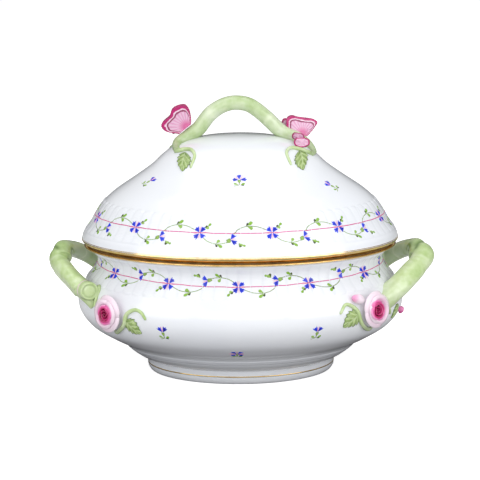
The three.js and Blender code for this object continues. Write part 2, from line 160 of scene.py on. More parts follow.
# ---- Walls -------------------------------------------------------------------------------------
class Wall:
    """The outside of the bowl or the lid, as places round it, with the osier relief on its band.
    Its stakes' scalloped ends are at the top of the band where scallop_up is true."""

    def __init__(self, outline, band, scallop_up, grooves=()):
        self.line = evenly(catmull(outline, OUTLINE_STEPS), OUTLINE_SAMPLES)
        self.band = band
        self.grooves = grooves
        self.scallop_up = scallop_up
        slope = np.gradient(self.line, axis=0)
        self.slope = slope / np.linalg.norm(slope, axis=1)[:, None]

    def radius(self, z):
        return np.interp(z, self.line[:, 1], self.line[:, 0])

    def climb(self, z):
        """Change of (half width, height) for each millimetre up the wall."""
        return [np.interp(z, self.line[:, 1], self.slope[:, i]) for i in (0, 1)]

    @staticmethod
    def across(degrees):
        """From -1 to 1 across one stake."""
        return 2 * ((shared(degrees) - PANEL_START) / STAKE % 1) - 1

    def pool(self, degrees, z):
        """From 0 to 1, how much glaze has pooled: in the valleys and at the foot of the relief."""
        inside = self.weave(degrees, z)
        step = 4 * inside * (1 - inside)
        cut = sum(hump(z, at, 1.1 * GROOVE_WIDTH) for at in self.grooves)
        return np.clip(inside * self.across(degrees) ** 8 + 0.8 * step + cut, 0, 1)

    def weave(self, degrees, z):
        """From 0 to 1, how far a place is inside the relief band, with rounded stake ends."""
        u = self.across(degrees)
        low, high = self.band
        rounded = 1.7 * u**4 + 0.5 * u**2
        top = high - (rounded if self.scallop_up else 0)
        bottom = low + (0 if self.scallop_up else 0.5 * rounded)
        return smoothstep(top - z, 0, 0.9) * smoothstep(z - bottom, 0, 0.9)

    def relief(self, degrees, z):
        inside = self.weave(degrees, z)
        off = (shared(degrees) - PANEL_START + PANEL / 2) % PANEL - PANEL / 2
        stake = 0.3 + 0.7 * (1 - self.across(degrees) ** 6)
        divider = hump(off, 0, 0.42) - 0.8 * hump(np.abs(off), 0.85, 0.25)
        cut = sum(hump(z, at, GROOVE_WIDTH) for at in self.grooves)
        return inside * (STAKE_HEIGHT * stake + DIVIDER_HEIGHT * divider) - GROOVE_DEPTH * cut

    def place(self, degrees, z, lift=0.0):
        """Points on the wall, relief included, raised by lift along the smooth wall's normal."""
        degrees, z = np.asarray(degrees, float), np.asarray(z, float)
        turn = np.radians(degrees)
        r = self.radius(z)
        dr, dz = self.climb(z)
        return self.stand(turn, r, z, dr, dz, self.relief(degrees, z) + lift)

    @staticmethod
    def stand(turn, r, z, dr, dz, lift):
        normal = np.stack([OVAL * dz * np.sin(turn), -dz * np.cos(turn), -OVAL * dr + 0 * turn], -1)
        normal /= np.maximum(np.linalg.norm(normal, axis=-1, keepdims=True), 1e-9)
        base = np.stack([r * np.sin(turn), -OVAL * r * np.cos(turn), z + 0 * turn], -1)
        return base + normal * np.asarray(lift)[..., None]

    def shift(self, degrees, z, x, y):
        """The place x millimetres round and y millimetres up from another, as (degrees, z)."""
        turn = np.radians(degrees)
        round_rate = self.radius(z) * np.hypot(np.cos(turn), OVAL * np.sin(turn))
        dr, dz = self.climb(z)
        climb_rate = np.hypot(dz, dr * np.hypot(np.sin(turn), OVAL * np.cos(turn)))
        return degrees + np.degrees(x / round_rate), z + y * dz / climb_rate

    def shift_seen(self, degrees, z, x, y):
        """The same for millimetres as they look from straight in front, a little above."""
        across = self.radius(z) * np.sin(np.radians(degrees)) + x
        height = z + y / SEEN_STRETCH
        return np.degrees(np.arcsin(across / self.radius(height))), height

    def frame_at(self, degrees, z):
        """(place, unit vector round, unit vector up the wall, outward normal) without relief."""
        step = 0.2
        turn = np.radians(degrees)
        dr, dz = self.climb(z)
        here = self.stand(turn, self.radius(z), z, dr, dz, np.float64(0))
        out = self.stand(turn, self.radius(z), z, dr, dz, np.float64(1)) - here
        side = self.place(degrees + step, z) - self.place(degrees - step, z)
        side -= out * (side @ out)
        side /= np.linalg.norm(side)
        return here, side, np.cross(out, side), out


BOWL_WALL = Wall([*BOWL_OUTSIDE, (138.6, BOWL_TOP)], BOWL_BAND, False, MOULDINGS)
LID_WALL = Wall(LID_OUTSIDE, LID_BAND, True)


# ---- Making pieces -----------------------------------------------------------------------------
def make_piece(name, points, faces, material, body, replaced=(), tints=None):
    """One piece from points in millimetres. tints are named values, one for each point."""
    mesh = bpy.data.meshes.new(name)
    mesh.from_pydata((np.asarray(points) * MM).tolist(), [], [list(map(int, f)) for f in faces])
    mesh.polygons.foreach_set("use_smooth", np.ones(len(mesh.polygons), bool))
    for key, values in (tints or {}).items():
        mesh.attributes.new(key, "FLOAT", "POINT").data.foreach_set(
            "value", np.asarray(values, np.float32)
        )
    mesh.materials.append(material)
    mesh.update()
    piece = bpy.data.objects.new(name, mesh)
    bpy.context.scene.collection.objects.link(piece)
    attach(piece, body)
    if replaced:
        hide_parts(*replaced)


def ring_faces(rows, columns):
    """Quads between closed rings of points stored row after row."""
    row, column = np.meshgrid(np.arange(rows - 1), np.arange(columns), indexing="ij")
    a = row * columns + column
    b = row * columns + (column + 1) % columns
    return np.stack([a, b, b + columns, a + columns], -1).reshape(-1, 4)


def outward(points, faces):
    """The faces, all turned round if the closed surface they make is inside out."""
    middle = points.mean(axis=0)
    volume = 0.0
    for face in faces:
        corner = points[face] - middle
        for second, third in zip(corner[1:-1], corner[2:]):
            volume += corner[0] @ np.cross(second, third)
    return faces if volume > 0 else [face[::-1] for face in faces]


class Body:
    """Collects closed surfaces that become one piece."""

    def __init__(self):
        self.points, self.faces, self.tints, self.count = [], [], {}, 0

    def add(self, points, faces, **tints):
        points = np.asarray(points, float).reshape(-1, 3)
        faces = outward(points, [[int(i) for i in face] for face in faces])
        self.faces += [[self.count + i for i in face] for face in faces]
        for key, values in tints.items():
            self.tints.setdefault(key, []).append(np.broadcast_to(values, len(points)))
        self.points.append(points)
        self.count += len(points)

    def build(self, name, material, body, slot, replaced=()):
        tints = {key: np.concatenate(parts) for key, parts in self.tints.items()}
        points = np.vstack(self.points)
        make_piece(name, points, self.faces, material, body, replaced, tints)


def turned_shell(wall_rows, plain_rows, wall):
    """Closed oval shell. wall_rows carry the relief; plain_rows close the section. A row whose
    half width is 0 becomes a single point."""
    degrees = spaced(np.arange(COLUMNS) * 360 / COLUMNS)
    turn = np.radians(degrees)
    nothing = np.zeros(COLUMNS)
    points, faces, tint, starts = [], [], [], []

    def add_row(row):
        starts.append((sum(len(p) for p in points), len(row)))
        points.append(row)

    for r, z, dr, dz, on_wall in [*wall_rows, *plain_rows]:
        if r < 1e-6:
            add_row(np.array([[0.0, 0.0, z]]))
            tint.append(np.zeros((2, 1)))
            continue
        lift = wall.relief(degrees, z) if on_wall else nothing
        add_row(Wall.stand(turn, r, np.full(COLUMNS, z), dr, dz, lift))
        tint.append(
            np.stack([wall.weave(degrees, z), wall.pool(degrees, z)] if on_wall else [nothing, nothing])
        )
    here = np.arange(COLUMNS)
    after = (here + 1) % COLUMNS
    for (start, size), (following, next_size) in zip(starts, starts[1:] + starts[:1]):
        corners = [start + here, start + after] if size > 1 else [start + 0 * here]
        corners += [following + after, following + here] if next_size > 1 else [following + 0 * here]
        if len(corners) > 2:
            faces += np.stack(corners, -1).tolist()
    weave, pool = np.concatenate(tint, axis=1)
    return np.vstack(points), faces, {"weave": weave, "pool": pool}


def section_rows(line, on_wall):
    """Rows of a section with the direction it climbs in, for turned_shell."""
    slope = np.gradient(line, axis=0)
    slope /= np.maximum(np.linalg.norm(slope, axis=1), 1e-9)[:, None]
    return [(r, z, dr, dz, on_wall) for (r, z), (dr, dz) in zip(line, slope)]


def uneven(line, wall):
    """The line sampled finely inside the relief band and the grooves and coarsely elsewhere."""
    dense = evenly(line, 4000)
    along = length_along(dense)
    height = dense[:, 1]
    low, high = wall.band
    inside = (height > low - 2) & (height < high + 2)
    if wall.grooves:
        inside |= (height > min(wall.grooves) - 1) & (height < max(wall.grooves) + 1)
    pace = np.where(inside, 1 / FINE_ROW, 1 / COARSE_ROW)
    ticks = np.concatenate([[0], np.cumsum(np.diff(along) * pace[1:])])
    at = np.interp(np.linspace(0, ticks[-1], int(round(ticks[-1])) + 1), ticks, along)
    return np.column_stack([np.interp(at, along, dense[:, i]) for i in (0, 1)])


# ---- Materials ---------------------------------------------------------------------------------
class Nodes:
    """A tree of shader nodes, built one call at a time."""

    def __init__(self, tree):
        self.tree = tree

    def node(self, kind, **settings):
        made = self.tree.nodes.new(kind)
        for key, value in settings.items():
            if key[0].isupper():
                made.inputs[key.replace("_", " ")].default_value = value
            else:
                setattr(made, key, value)
        return made

    def link(self, source, target):
        self.tree.links.new(source, target)

    def feed(self, value, socket):
        """Gives a socket its value: another node's socket, a number or a colour."""
        if isinstance(value, bpy.types.NodeSocket):
            self.link(value, socket)
        else:
            socket.default_value = (*value, 1) if isinstance(value, tuple) else value

    def ramp(self, value, *stops):
        made = self.node("ShaderNodeValToRGB")
        points = made.color_ramp.elements
        while len(points) < len(stops):
            points.new(0.5)
        for element, (position, colour) in zip(points, stops):
            element.position = position
            element.color = (*colour, 1)
        self.link(value, made.inputs["Fac"])
        return made.outputs["Color"]

    def mix(self, share, first, second):
        made = self.node("ShaderNodeMix", data_type="RGBA")
        for value, number in ((share, 0), (first, 6), (second, 7)):
            self.feed(value, made.inputs[number])
        return made.outputs[2]

    def math(self, operation, first, second=0.5):
        made = self.node("ShaderNodeMath", operation=operation)
        self.feed(first, made.inputs[0])
        self.feed(second, made.inputs[1])
        return made.outputs[0]

    def times(self, first, second):
        return self.math("MULTIPLY", first, second)

    def plus(self, first, second):
        return self.math("ADD", first, second)

    def spread(self, value, low, high, start=0.0, end=1.0):
        """The value, which runs from start to end, as one that runs from low to high."""
        made = self.node("ShaderNodeMapRange", From_Min=start, From_Max=end)
        for given, socket in ((value, "Value"), (low, "To Min"), (high, "To Max")):
            self.feed(given, made.inputs[socket])
        return made.outputs["Result"]

    def part(self, vector, axis):
        made = self.node("ShaderNodeSeparateXYZ")
        self.link(vector, made.inputs[0])
        return made.outputs[axis]


class Glaze(Nodes):
    """A node material with object coordinates ready for procedural variation."""

    def __init__(self, name):
        self.material = bpy.data.materials.new(name)
        self.material.use_nodes = True
        super().__init__(self.material.node_tree)
        self.shader = self.tree.nodes["Principled BSDF"]
        self.place = self.node("ShaderNodeTexCoord").outputs["Object"]

    def noise(self, scale, detail):
        made = self.node("ShaderNodeTexNoise", Scale=scale, Detail=detail)
        self.link(self.place, made.inputs["Vector"])
        return made.outputs["Fac"]

    def tint(self, name):
        return self.node("ShaderNodeAttribute", attribute_name=name).outputs["Fac"]

    def around_nothing(self, value, strength):
        """A value from 0 to 1 moved to lie evenly either side of 0, times strength."""
        return self.times(self.math("SUBTRACT", value), strength)

    def colour(self, source):
        self.link(source, self.shader.inputs["Base Color"])

    def finish(self, rough, bump, coat=None):
        """The material with its surface: rough is (value, low, high), bump is (height, strength,
        distance in metres) and coat is the clear coat's (weight, roughness)."""
        self.link(self.spread(*rough), self.shader.inputs["Roughness"])
        height, strength, distance = bump
        made = self.node("ShaderNodeBump", Strength=strength, Distance=distance)
        self.link(height, made.inputs["Height"])
        self.link(made.outputs["Normal"], self.shader.inputs["Normal"])
        if coat:
            self.feed(coat[0], self.shader.inputs["Coat Weight"])
            self.feed(coat[1], self.shader.inputs["Coat Roughness"])
        return self.material


def white_glaze():
    """White porcelain: a faint blue pooling of glaze, fine weave in the relief, glaze ripple."""
    glaze = Glaze("white_glaze")
    clouds = glaze.noise(9, 4)
    body = glaze.ramp(clouds, (0.3, (0.795, 0.82, 0.87)), (0.7, (0.84, 0.86, 0.895)))
    glaze.colour(glaze.mix(glaze.times(glaze.tint("pool"), 0.32), body, (0.60, 0.63, 0.70)))
    wave = glaze.math("SINE", glaze.times(glaze.part(glaze.place, "Z"), 2 * math.pi / (WEAVE_PITCH * MM)))
    woven = glaze.times(wave, glaze.tint("weave"))
    ripple = glaze.times(glaze.noise(140, 2), 0.5)
    glaze.shader.inputs["IOR"].default_value = 1.5
    return glaze.finish(
        (glaze.noise(40, 2), 0.05, 0.11), (glaze.plus(woven, ripple), 0.35, 0.00012), (0.25, 0.04)
    )


def gilding():
    """Burnished gold on the rims, thin and a little worn where it is handled."""
    gold = Glaze("gilding")
    wear = gold.noise(160, 5)
    gold.colour(gold.ramp(
        wear, (0.3, (0.70, 0.47, 0.17)), (0.5, (0.85, 0.61, 0.26)), (0.8, (0.94, 0.71, 0.35))
    ))
    gold.shader.inputs["Metallic"].default_value = 1.0
    return gold.finish((gold.noise(300, 3), 0.1, 0.22), (wear, 0.05, 0.0001))


def srgb(red, green, blue):
    """A colour given as display values from 0 to 255, as the linear one that a shader takes."""
    shares = (red / 255, green / 255, blue / 255)
    return tuple(((c + 0.055) / 1.055) ** 2.4 if c > 0.0393 else c / 12.92 for c in shares)


def enamel(name, *stops):
    """Brushed enamel under a clear gloss, from the tones by each stroke's own shade and streaks."""
    paint = Glaze(name)
    streaks = paint.noise(420, 3)
    tone = paint.plus(paint.tint("shade"), paint.around_nothing(streaks, 0.35))
    paint.colour(paint.ramp(tone, *[(at, srgb(*tint)) for at, tint in stops]))
    return paint.finish((streaks, 0.1, 0.22), (streaks, 0.15, 0.00006))


def leaf_green():
    """Leaves painted dark towards the rim and the stalk, with pale veins."""
    green = Glaze("leaf_green")
    brush = green.noise(260, 4)
    blade = green.ramp(brush, (0.32, srgb(132, 160, 82)), (0.68, srgb(176, 198, 128)))
    shade = green.times(green.tint("dark"), green.spread(brush, 0.6, 1.1))
    shaded = green.mix(shade, blade, srgb(76, 106, 44))
    green.colour(green.mix(green.times(green.tint("vein"), 0.75), shaded, srgb(206, 222, 176)))
    return green.finish((brush, 0.08, 0.2), (brush, 0.15, 0.0002), (0.35, 0.05))


def rose_glaze():
    """Petals from blush to crimson by their own shade, with faint brushing along them."""
    petal = Glaze("rose_glaze")
    brush = petal.noise(150, 4)
    tone = petal.plus(petal.tint("shade"), petal.around_nothing(brush, 0.12))
    petal.colour(petal.ramp(
        tone, (0.0, srgb(240, 226, 236)), (0.2, srgb(236, 208, 225)), (0.42, srgb(240, 160, 205)),
        (0.6, srgb(226, 98, 165)), (0.78, srgb(196, 30, 105)), (0.97, srgb(96, 4, 38)),
    ))
    return petal.finish((brush, 0.08, 0.18), (brush, 0.1, 0.0002), (0.3, 0.05))


def wing_pink():
    """Butterfly wings: a deep pink border, a white band, a second pink line and a veined blush."""
    pink = Glaze("wing_pink")
    brush = pink.noise(300, 4)
    sway = pink.around_nothing(pink.noise(130, 2), 0.24)
    edge = pink.plus(pink.plus(pink.tint("reach"), sway), pink.around_nothing(brush, 0.05))
    deep, dark = srgb(182, 14, 106), srgb(134, 4, 76)
    pale, blush = srgb(236, 206, 224), srgb(224, 184, 208)
    rings = pink.ramp(
        edge, (0.68, blush), (0.72, dark), (0.77, dark), (0.79, pale), (0.83, pale), (0.86, deep),
        (0.94, deep), (1.0, dark),
    )
    rays = pink.times(pink.tint("ray"), pink.math("LESS_THAN", pink.tint("reach"), 0.7))
    veined = pink.mix(pink.times(rays, 0.6), rings, srgb(206, 92, 162))
    blush_base = pink.spread(pink.tint("off"), 0, 1, start=0.34, end=0.12)
    pink.colour(pink.mix(pink.times(blush_base, 0.75), veined, srgb(206, 60, 136)))
    return pink.finish((brush, 0.1, 0.22), (brush, 0.12, 0.0002), (0.3, 0.05))


def branch_green(name, dark, middle, light):
    """Light green enamel on the branches: clouded from dark to light, darker where pooled enamel and
    painted shade lie.
    """
    green = Glaze(name)
    broad = green.noise(26, 3)
    fine = green.noise(150, 4)
    tone = green.plus(green.times(broad, 0.7), green.times(fine, 0.3))
    body = green.ramp(tone, (0.36, srgb(*dark)), (0.5, srgb(*middle)), (0.63, srgb(*light)))
    # Painted shade on rear limbs, shoot roots and the arch's low ends; pooled enamel and painted shade in
    # grooves and creases.
    pooling_and_painted_shade = green.mix(green.tint("pooling_and_painted_shade"), body, srgb(104, 132, 70))
    pale = green.mix(green.times(green.tint("pale"), 0.7), pooling_and_painted_shade, srgb(222, 230, 200))
    green.colour(green.mix(green.tint("pink"), pale, srgb(230, 200, 215)))
    return green.finish((fine, 0.07, 0.16), (broad, 0.12, 0.0004), (0.4, 0.05))


WHITE = white_glaze()
GOLD = gilding()
GREEN = branch_green("branch_green", (164, 192, 120), (192, 212, 156), (214, 227, 192))
ARCH_GREEN = branch_green("arch_green", (156, 182, 116), (186, 204, 158), (206, 218, 188))
LEAF = leaf_green()
ROSE = rose_glaze()
WING = wing_pink()
PAINTS = {
    "blue": enamel("painted_blue", (0, (14, 16, 140)), (0.45, (40, 66, 226)), (1, (84, 112, 246))),
    "green": enamel(
        "painted_green",
        (0, (38, 42, 30)), (0.35, (100, 122, 62)), (0.75, (150, 188, 92)), (1, (124, 172, 52)),
    ),
    "pink": enamel("painted_pink", (0, (246, 186, 212)), (0.4, (234, 140, 188)), (0.9, (206, 58, 130))),
}


# ---- Bowl, lid and foot ------------------------------------------------------------------------
def bowl_shell():
    outside = uneven(catmull(BOWL_OUTSIDE, OUTLINE_STEPS), BOWL_WALL)
    rim_inside, rim_outside = ((radius, BOWL_TOP) for radius in BOWL_RIM)
    lip = catmull([outside[-1], *BOWL_LIP, rim_outside], 5)[1:]
    land = evenly(np.array([rim_outside, rim_inside]), 4)[1:]
    inside = evenly(catmull([rim_inside, *BOWL_INSIDE[::-1]], 20), 34)[1:]
    under = evenly(np.array([(0, BOWL_OUTSIDE[0][1]), outside[0]]), 5)[:-1]
    plain = section_rows(np.vstack([lip, land, inside, under]), False)
    points, faces, tints = turned_shell(section_rows(outside, True), plain, BOWL_WALL)
    make_piece("bowl", points, faces, WHITE, "bowl", ["bowl_shell"], tints)


def lid_shell():
    outside = uneven(catmull(LID_OUTSIDE, OUTLINE_STEPS), LID_WALL)
    flange_outside, seat_outside = SEAT_RADIUS
    flange_inside = flange_outside - FLANGE_WALL
    inside = evenly(catmull(LID_INSIDE, 20), 36)[1:]
    flange = [
        (flange_inside, 118), (flange_inside, FLANGE_LOW + FLANGE_CHAMFER),
        (flange_inside + FLANGE_CHAMFER, FLANGE_LOW), (flange_outside - 1.4, FLANGE_LOW),
        (flange_outside - 0.6, FLANGE_LOW + FLANGE_CHAMFER), (flange_outside, LID_SEAT),
        (seat_outside, LID_SEAT),
    ]
    lip = catmull([flange[-1], *LID_LIP, LID_OUTSIDE[0]], 5)[1:-1]
    start = np.array([(0, LID_INSIDE[0][1])])
    plain = section_rows(np.vstack([start, inside, flange, lip]), False)
    points, faces, tints = turned_shell(section_rows(outside, True), plain, LID_WALL)
    make_piece("lid", points, faces, WHITE, "lid", ["lid_shell"], tints)


def turned_ring(name, section, columns, material, body, replaced=()):
    """Closed oval ring turned from a closed [radius, height] section, listed anticlockwise."""
    turn = np.arange(columns) * 2 * np.pi / columns
    rows = [
        np.stack([r * np.sin(turn), -OVAL * r * np.cos(turn), np.full(columns, z)], -1) for r, z in section
    ]
    rows.append(rows[0])
    points = np.vstack(rows)
    faces = ring_faces(len(rows), columns)
    last = columns * (len(rows) - 1)
    faces = np.where(faces >= last, faces - last, faces)
    make_piece(name, points[:last], faces, material, body, replaced)


def foot_ring():
    inner, outer = FOOT_LAND
    section = [
        (inner, 0), (outer - 0.3, 0), (outer + 0.5, 0.25), (outer + 1.6, 1.1), (outer + 2.5, 2.4),
        (FOOT_RADIUS - 0.3, 4.0), (FOOT_RADIUS, 5.8), (FOOT_RADIUS - 0.1, 8.0), (FOOT_RADIUS - 0.1, 10.2),
        (FOOT_RADIUS + 0.1, 11.5), (84, FOOT_JOINT + 0.3),
        (inner - 1, FOOT_JOINT + 0.3), (inner - 0.8, 6), (inner - 0.5, 1.2), (inner - 0.3, 0.3),
    ]
    turned_ring("foot", section, FOOT_COLUMNS, WHITE, "bowl", ["foot_ring"])


def gilt_band(name, line, lift, sink, body):
    """Film of gold along a stretch of a section, raised a little over the glaze."""
    line = np.asarray(line)
    slope = np.gradient(line, axis=0)
    slope /= np.linalg.norm(slope, axis=1)[:, None]
    out = np.column_stack([slope[:, 1], -slope[:, 0]])
    raised = line + out * lift
    raised[[0, -1]] = line[[0, -1]] - out[[0, -1]] * 0.03
    section = np.vstack([raised, (line - out * sink)[::-1]])
    turned_ring(name, section, GILT_COLUMNS, GOLD, body)


def gilt_rims():
    lid_edge = catmull([(134.5, LID_SEAT + 0.38), *LID_LIP, (140.4, 120.3), (140.25, 121)], 6)
    gilt_band("lid_gilt_rim", lid_edge, 0.08, 0.3, "lid")
    bowl_top = [(137.2, BOWL_TOP - 0.03), (135.4, BOWL_TOP), (131.5, BOWL_TOP)]
    bowl_edge = catmull([(135.9, 112.3), *BOWL_LIP, *bowl_top], 6)
    gilt_band("bowl_gilt_rim", bowl_edge, 0.08, 0.25, "bowl")
    foot_line = [(FOOT_RADIUS - 0.02, 6.4), (FOOT_RADIUS - 0.03, 7.0), (FOOT_RADIUS - 0.07, 7.6)]
    gilt_band("foot_gilt_line", foot_line, 0.1, 0.3, "bowl")


# ---- Closed surfaces ---------------------------------------------------------------------------
def tube(rings):
    """Points and faces of a closed tube through rings of points, its ends drawn to a centre."""
    rings = np.asarray(rings)
    count, sides = rings.shape[:2]
    points = np.vstack([rings.reshape(-1, 3), rings[0].mean(axis=0), rings[-1].mean(axis=0)])
    faces = ring_faces(count, sides).tolist()
    last = (count - 1) * sides
    for j in range(sides):
        k = (j + 1) % sides
        faces.append([count * sides, k, j])
        faces.append([count * sides + 1, last + j, last + k])
    return points, faces


def slab_faces(rows, columns):
    """Faces of a closed slab between two grids of points, the upper grid stored first."""
    number = np.arange(rows * columns).reshape(rows, columns)
    corners = [number[:-1, :-1], number[1:, :-1], number[1:, 1:], number[:-1, 1:]]
    quads = np.stack(corners, -1).reshape(-1, 4)
    rim = np.concatenate([number[0, :-1], number[:-1, -1], number[-1, :0:-1], number[:0:-1, 0]])
    after = np.roll(rim, -1)
    below = rows * columns
    faces = quads.tolist() + (quads[:, ::-1] + below).tolist()
    faces += np.stack([rim, after, after + below, rim + below], -1).tolist()
    return faces


def turned_rings(profile, sides):
    """Rings of points about +Z from a profile of (radius, height)."""
    angle = np.arange(sides) * 2 * np.pi / sides
    return [
        np.stack([r * np.cos(angle), r * np.sin(angle), np.full(sides, z)], -1) for r, z in profile
    ]


def sheet(grid, thickness):
    """A closed sheet: the grid of points thickened both ways along its own normals."""
    normal = np.cross(np.gradient(grid, axis=0), np.gradient(grid, axis=1))
    normal /= np.maximum(np.linalg.norm(normal, axis=2, keepdims=True), 1e-9)
    half = normal * np.broadcast_to(thickness, grid.shape[:2])[..., None] / 2
    points = np.vstack([(grid + half).reshape(-1, 3), (grid - half).reshape(-1, 3)])
    return points, slab_faces(*grid.shape[:2])


def sweep(line, radius, sides, relief=None):
    """Rings round a line of points, kept from twisting. relief(along, angle) scales the radius."""
    ahead = np.gradient(line, axis=0)
    ahead /= np.linalg.norm(ahead, axis=1)[:, None]
    side = np.cross(ahead[0], (0, 0, 1.0))
    rings = []
    along = length_along(line)
    angle = np.arange(sides) * 2 * np.pi / sides
    for i, (place, forward) in enumerate(zip(line, ahead)):
        side = side - forward * (side @ forward)
        side /= np.linalg.norm(side)
        over = np.cross(forward, side)
        spread = radius[i] * (relief(along[i], angle) if relief else np.ones(sides))
        round_it = np.cos(angle)[:, None] * side + np.sin(angle)[:, None] * over
        rings.append(place + spread[:, None] * round_it)
    return np.array(rings)


# ---- Painting on a wall ------------------------------------------------------------------------
STROKE_STEP = 0.7  # millimetres between the places along a stroke
FILM = 0.13  # how far a painted stroke stands over the glaze
EDGE = 0.05  # how far its edges are sunk into the glaze
SUNK = 0.3  # how far its underside is buried in the wall


class Painter:
    """Lays enamel strokes on one wall and gathers them by colour."""

    def __init__(self, wall, body):
        self.wall, self.body = wall, body
        self.coats = {"blue": Body(), "green": Body(), "pink": Body()}

    def line(self, colour, route, width, shade=0.5):
        """A ribbon through (degrees, z) places."""
        fine = catmull(route, 12)
        along = length_along(self.wall.place(fine[:, 0], fine[:, 1]))
        at = np.linspace(0, along[-1], max(5, int(along[-1] / STROKE_STEP)))
        degrees, z = (np.interp(at, along, fine[:, i]) for i in (0, 1))
        base = self.wall.place(degrees, z)
        out = self.wall.place(degrees, z, 1.0) - base
        ahead = np.gradient(base, axis=0)
        ahead /= np.linalg.norm(ahead, axis=1)[:, None]
        side = np.cross(ahead, out)
        swell = np.sqrt(np.clip(np.minimum(at, at[-1] - at) / width, 0.06, 1))[:, None]
        half = side * width / 2 * swell
        left, right = base - half - out * EDGE, base + half - out * EDGE
        points, faces = tube(np.stack([left, base + out * FILM, right, base - out * SUNK], 1))
        self.coats[colour].add(points, faces, shade=shade + rng.uniform(-0.08, 0.08))

    def patch(self, colour, degrees, z, start, direction, outline, core, shades):
        """A filled outline drawn along +X in millimetres, turned to a direction and moved to start.
        core is how far along it its middle is, and shades are the tones at its core and its edge."""
        outline = turned_flat(np.asarray(outline, float), direction) + start
        core = turned_flat(np.array([(core, 0.0)]), direction)[0] + start
        inner = core + (outline - core) * 0.7
        count = len(outline)
        flat = np.vstack([outline, inner, core, core])
        lift = np.concatenate([np.full(count, -EDGE), np.full(count, FILM), [FILM + 0.03, -SUNK]])
        around, up = self.wall.shift(degrees, z, flat[:, 0], flat[:, 1])
        points = self.wall.place(around, up, lift)
        faces = []
        for j in range(count):
            k = (j + 1) % count
            slope, top, underside = (
                [j, k, count + k, count + j], [count + j, count + k, 2 * count], [k, j, 2 * count + 1]
            )
            faces += [slope, top, underside]
        heart, rim = shades
        tone = np.concatenate([np.full(count, rim), np.full(count, 0.5 * (heart + rim)), [heart, heart]])
        self.coats[colour].add(points, faces, shade=tone + rng.uniform(-0.06, 0.06))

    def petal(self, degrees, z, start, direction, length, width):
        """A cornflower petal: a fan with bristles, from a dark throat to a bright tip."""
        teeth = 1 + rng.uniform(-0.12, 0.12, 3)
        fan = np.array([
            (0, 0), (0.4, -0.3), (0.72, -0.5), (0.96 * teeth[0], -0.5), (0.84, -0.26),
            (1.06 * teeth[1], -0.02), (0.84, 0.22), (0.98 * teeth[2], 0.5), (0.7, 0.5), (0.4, 0.3),
        ]) * (length, width)
        shades = (rng.uniform(0.0, 0.3), rng.uniform(0.4, 0.75))
        self.patch("blue", degrees, z, start, direction, fan, 0.55 * length, shades)

    def blade(self, degrees, z, start, direction, length, width, shade):
        """A little leaf: narrow at its stalk and blunt at its tip."""
        paddle = np.array([
            (0, 0), (0.3, -0.24), (0.62, -0.5), (0.86, -0.44), (1, -0.14), (1, 0.14), (0.86, 0.44),
            (0.62, 0.5), (0.3, 0.24),
        ]) * (length, width)
        shades = (shade + 0.1, shade - 0.1)
        self.patch("green", degrees, z, start, direction, paddle, 0.6 * length, shades)

    def calyx(self, degrees, z, direction, length):
        """The green cup that a flower springs from, its mouth at the place and pale in its middle."""
        goblet = np.array([
            (0.06, -0.34), (0.08, 0), (0.06, 0.34), (-0.3, 0.4), (-0.62, 0.26), (-1, 0.1), (-1, -0.1),
            (-0.62, -0.26), (-0.3, -0.4),
        ]) * length
        self.patch("green", degrees, z, (0, 0), direction, goblet, -0.38 * length, (0.85, 0.3))

    def stamens(self, degrees, z, directions, length):
        """Three fine pink threads out of a flower's middle for each direction."""
        for direction in directions:
            for lean in (-11, 0, 11):
                turn = np.radians(direction + lean + rng.uniform(-3, 3))
                reach = length * rng.uniform(0.85, 1.1)
                ends = np.outer((0.15, 1.0), (np.cos(turn), np.sin(turn))) * reach
                route = np.column_stack(self.wall.shift(degrees, z, ends[:, 0], ends[:, 1]))
                self.line("pink", route, 0.34, 0.42)

    def build(self, name):
        for colour, coat in self.coats.items():
            coat.build(f"{name}_{colour}", PAINTS[colour], self.body, f"painted_{colour}")


def turned_flat(points, degrees):
    turn = np.radians(degrees)
    return points @ np.array([(np.cos(turn), np.sin(turn)), (-np.sin(turn), np.cos(turn))])


# One period of the garland, in (degrees, millimetres up) from a full flower to the next one.
LOWER_VINE = [(1.75, -4.5), (3.9, -7.6), (6.6, -9.3), (9.2, -9.3), (11.4, -8), (12.3, -6.9)]
UPPER_VINE = [(14, -1), (15.8, 3.1), (18, 5.3), (20.6, 6.2), (23.7, 5.7), (26.3, 3.9), (27.6, 2.6)]
# Leaves as (degrees, millimetres up, direction, length, width, shade).
GARLAND_LEAVES = [
    (1.9, 4.2, 42, 2.6, 1.5, 0.1), (2.1, 3.9, 14, 3.0, 1.9, 0.7), (3.0, 5.3, 48, 3.6, 1.7, 0.95),
    (6.9, -9.3, -58, 2.9, 1.4, 0.08), (7.2, -9.2, 54, 3.7, 2.1, 0.8), (7.4, -9.4, -38, 5.0, 2.0, 0.9),
    (10.9, -8.8, 34, 4.4, 2.3, 0.55),
    (16.0, -8.3, -40, 3.9, 2.3, 0.75), (16.1, -8.9, -62, 3.4, 1.6, 0.1),
    (17.4, -10.1, -22, 2.9, 1.6, 0.95), (19.2, 6.0, 58, 3.1, 1.5, 0.1),
    (19.5, 6.2, 38, 5.4, 2.1, 0.9), (19.7, 5.9, -28, 4.4, 2.2, 0.85),
]
LEAF_GROWTH = (1.2, 1.45)  # in length and in width
FULL_PETALS = (47, 133, 229, 316)
PETAL_LENGTH, PETAL_WIDTH = 5.9, 4.4
HALF_FLOWER = (12.9, -5.7)  # where the flower seen from the side is
HALF_PETALS = (54, -32)
GARLAND_PERIODS = 12
# Height of the pink line at the front, its rise at the handles and the angle of its first flower.
LID_LINE, LID_RISE, LID_FIRST = 139.7, 2.0, 13.3
BOWL_LINE, BOWL_RISE, BOWL_FIRST = 94.2, 4.2, -0.8


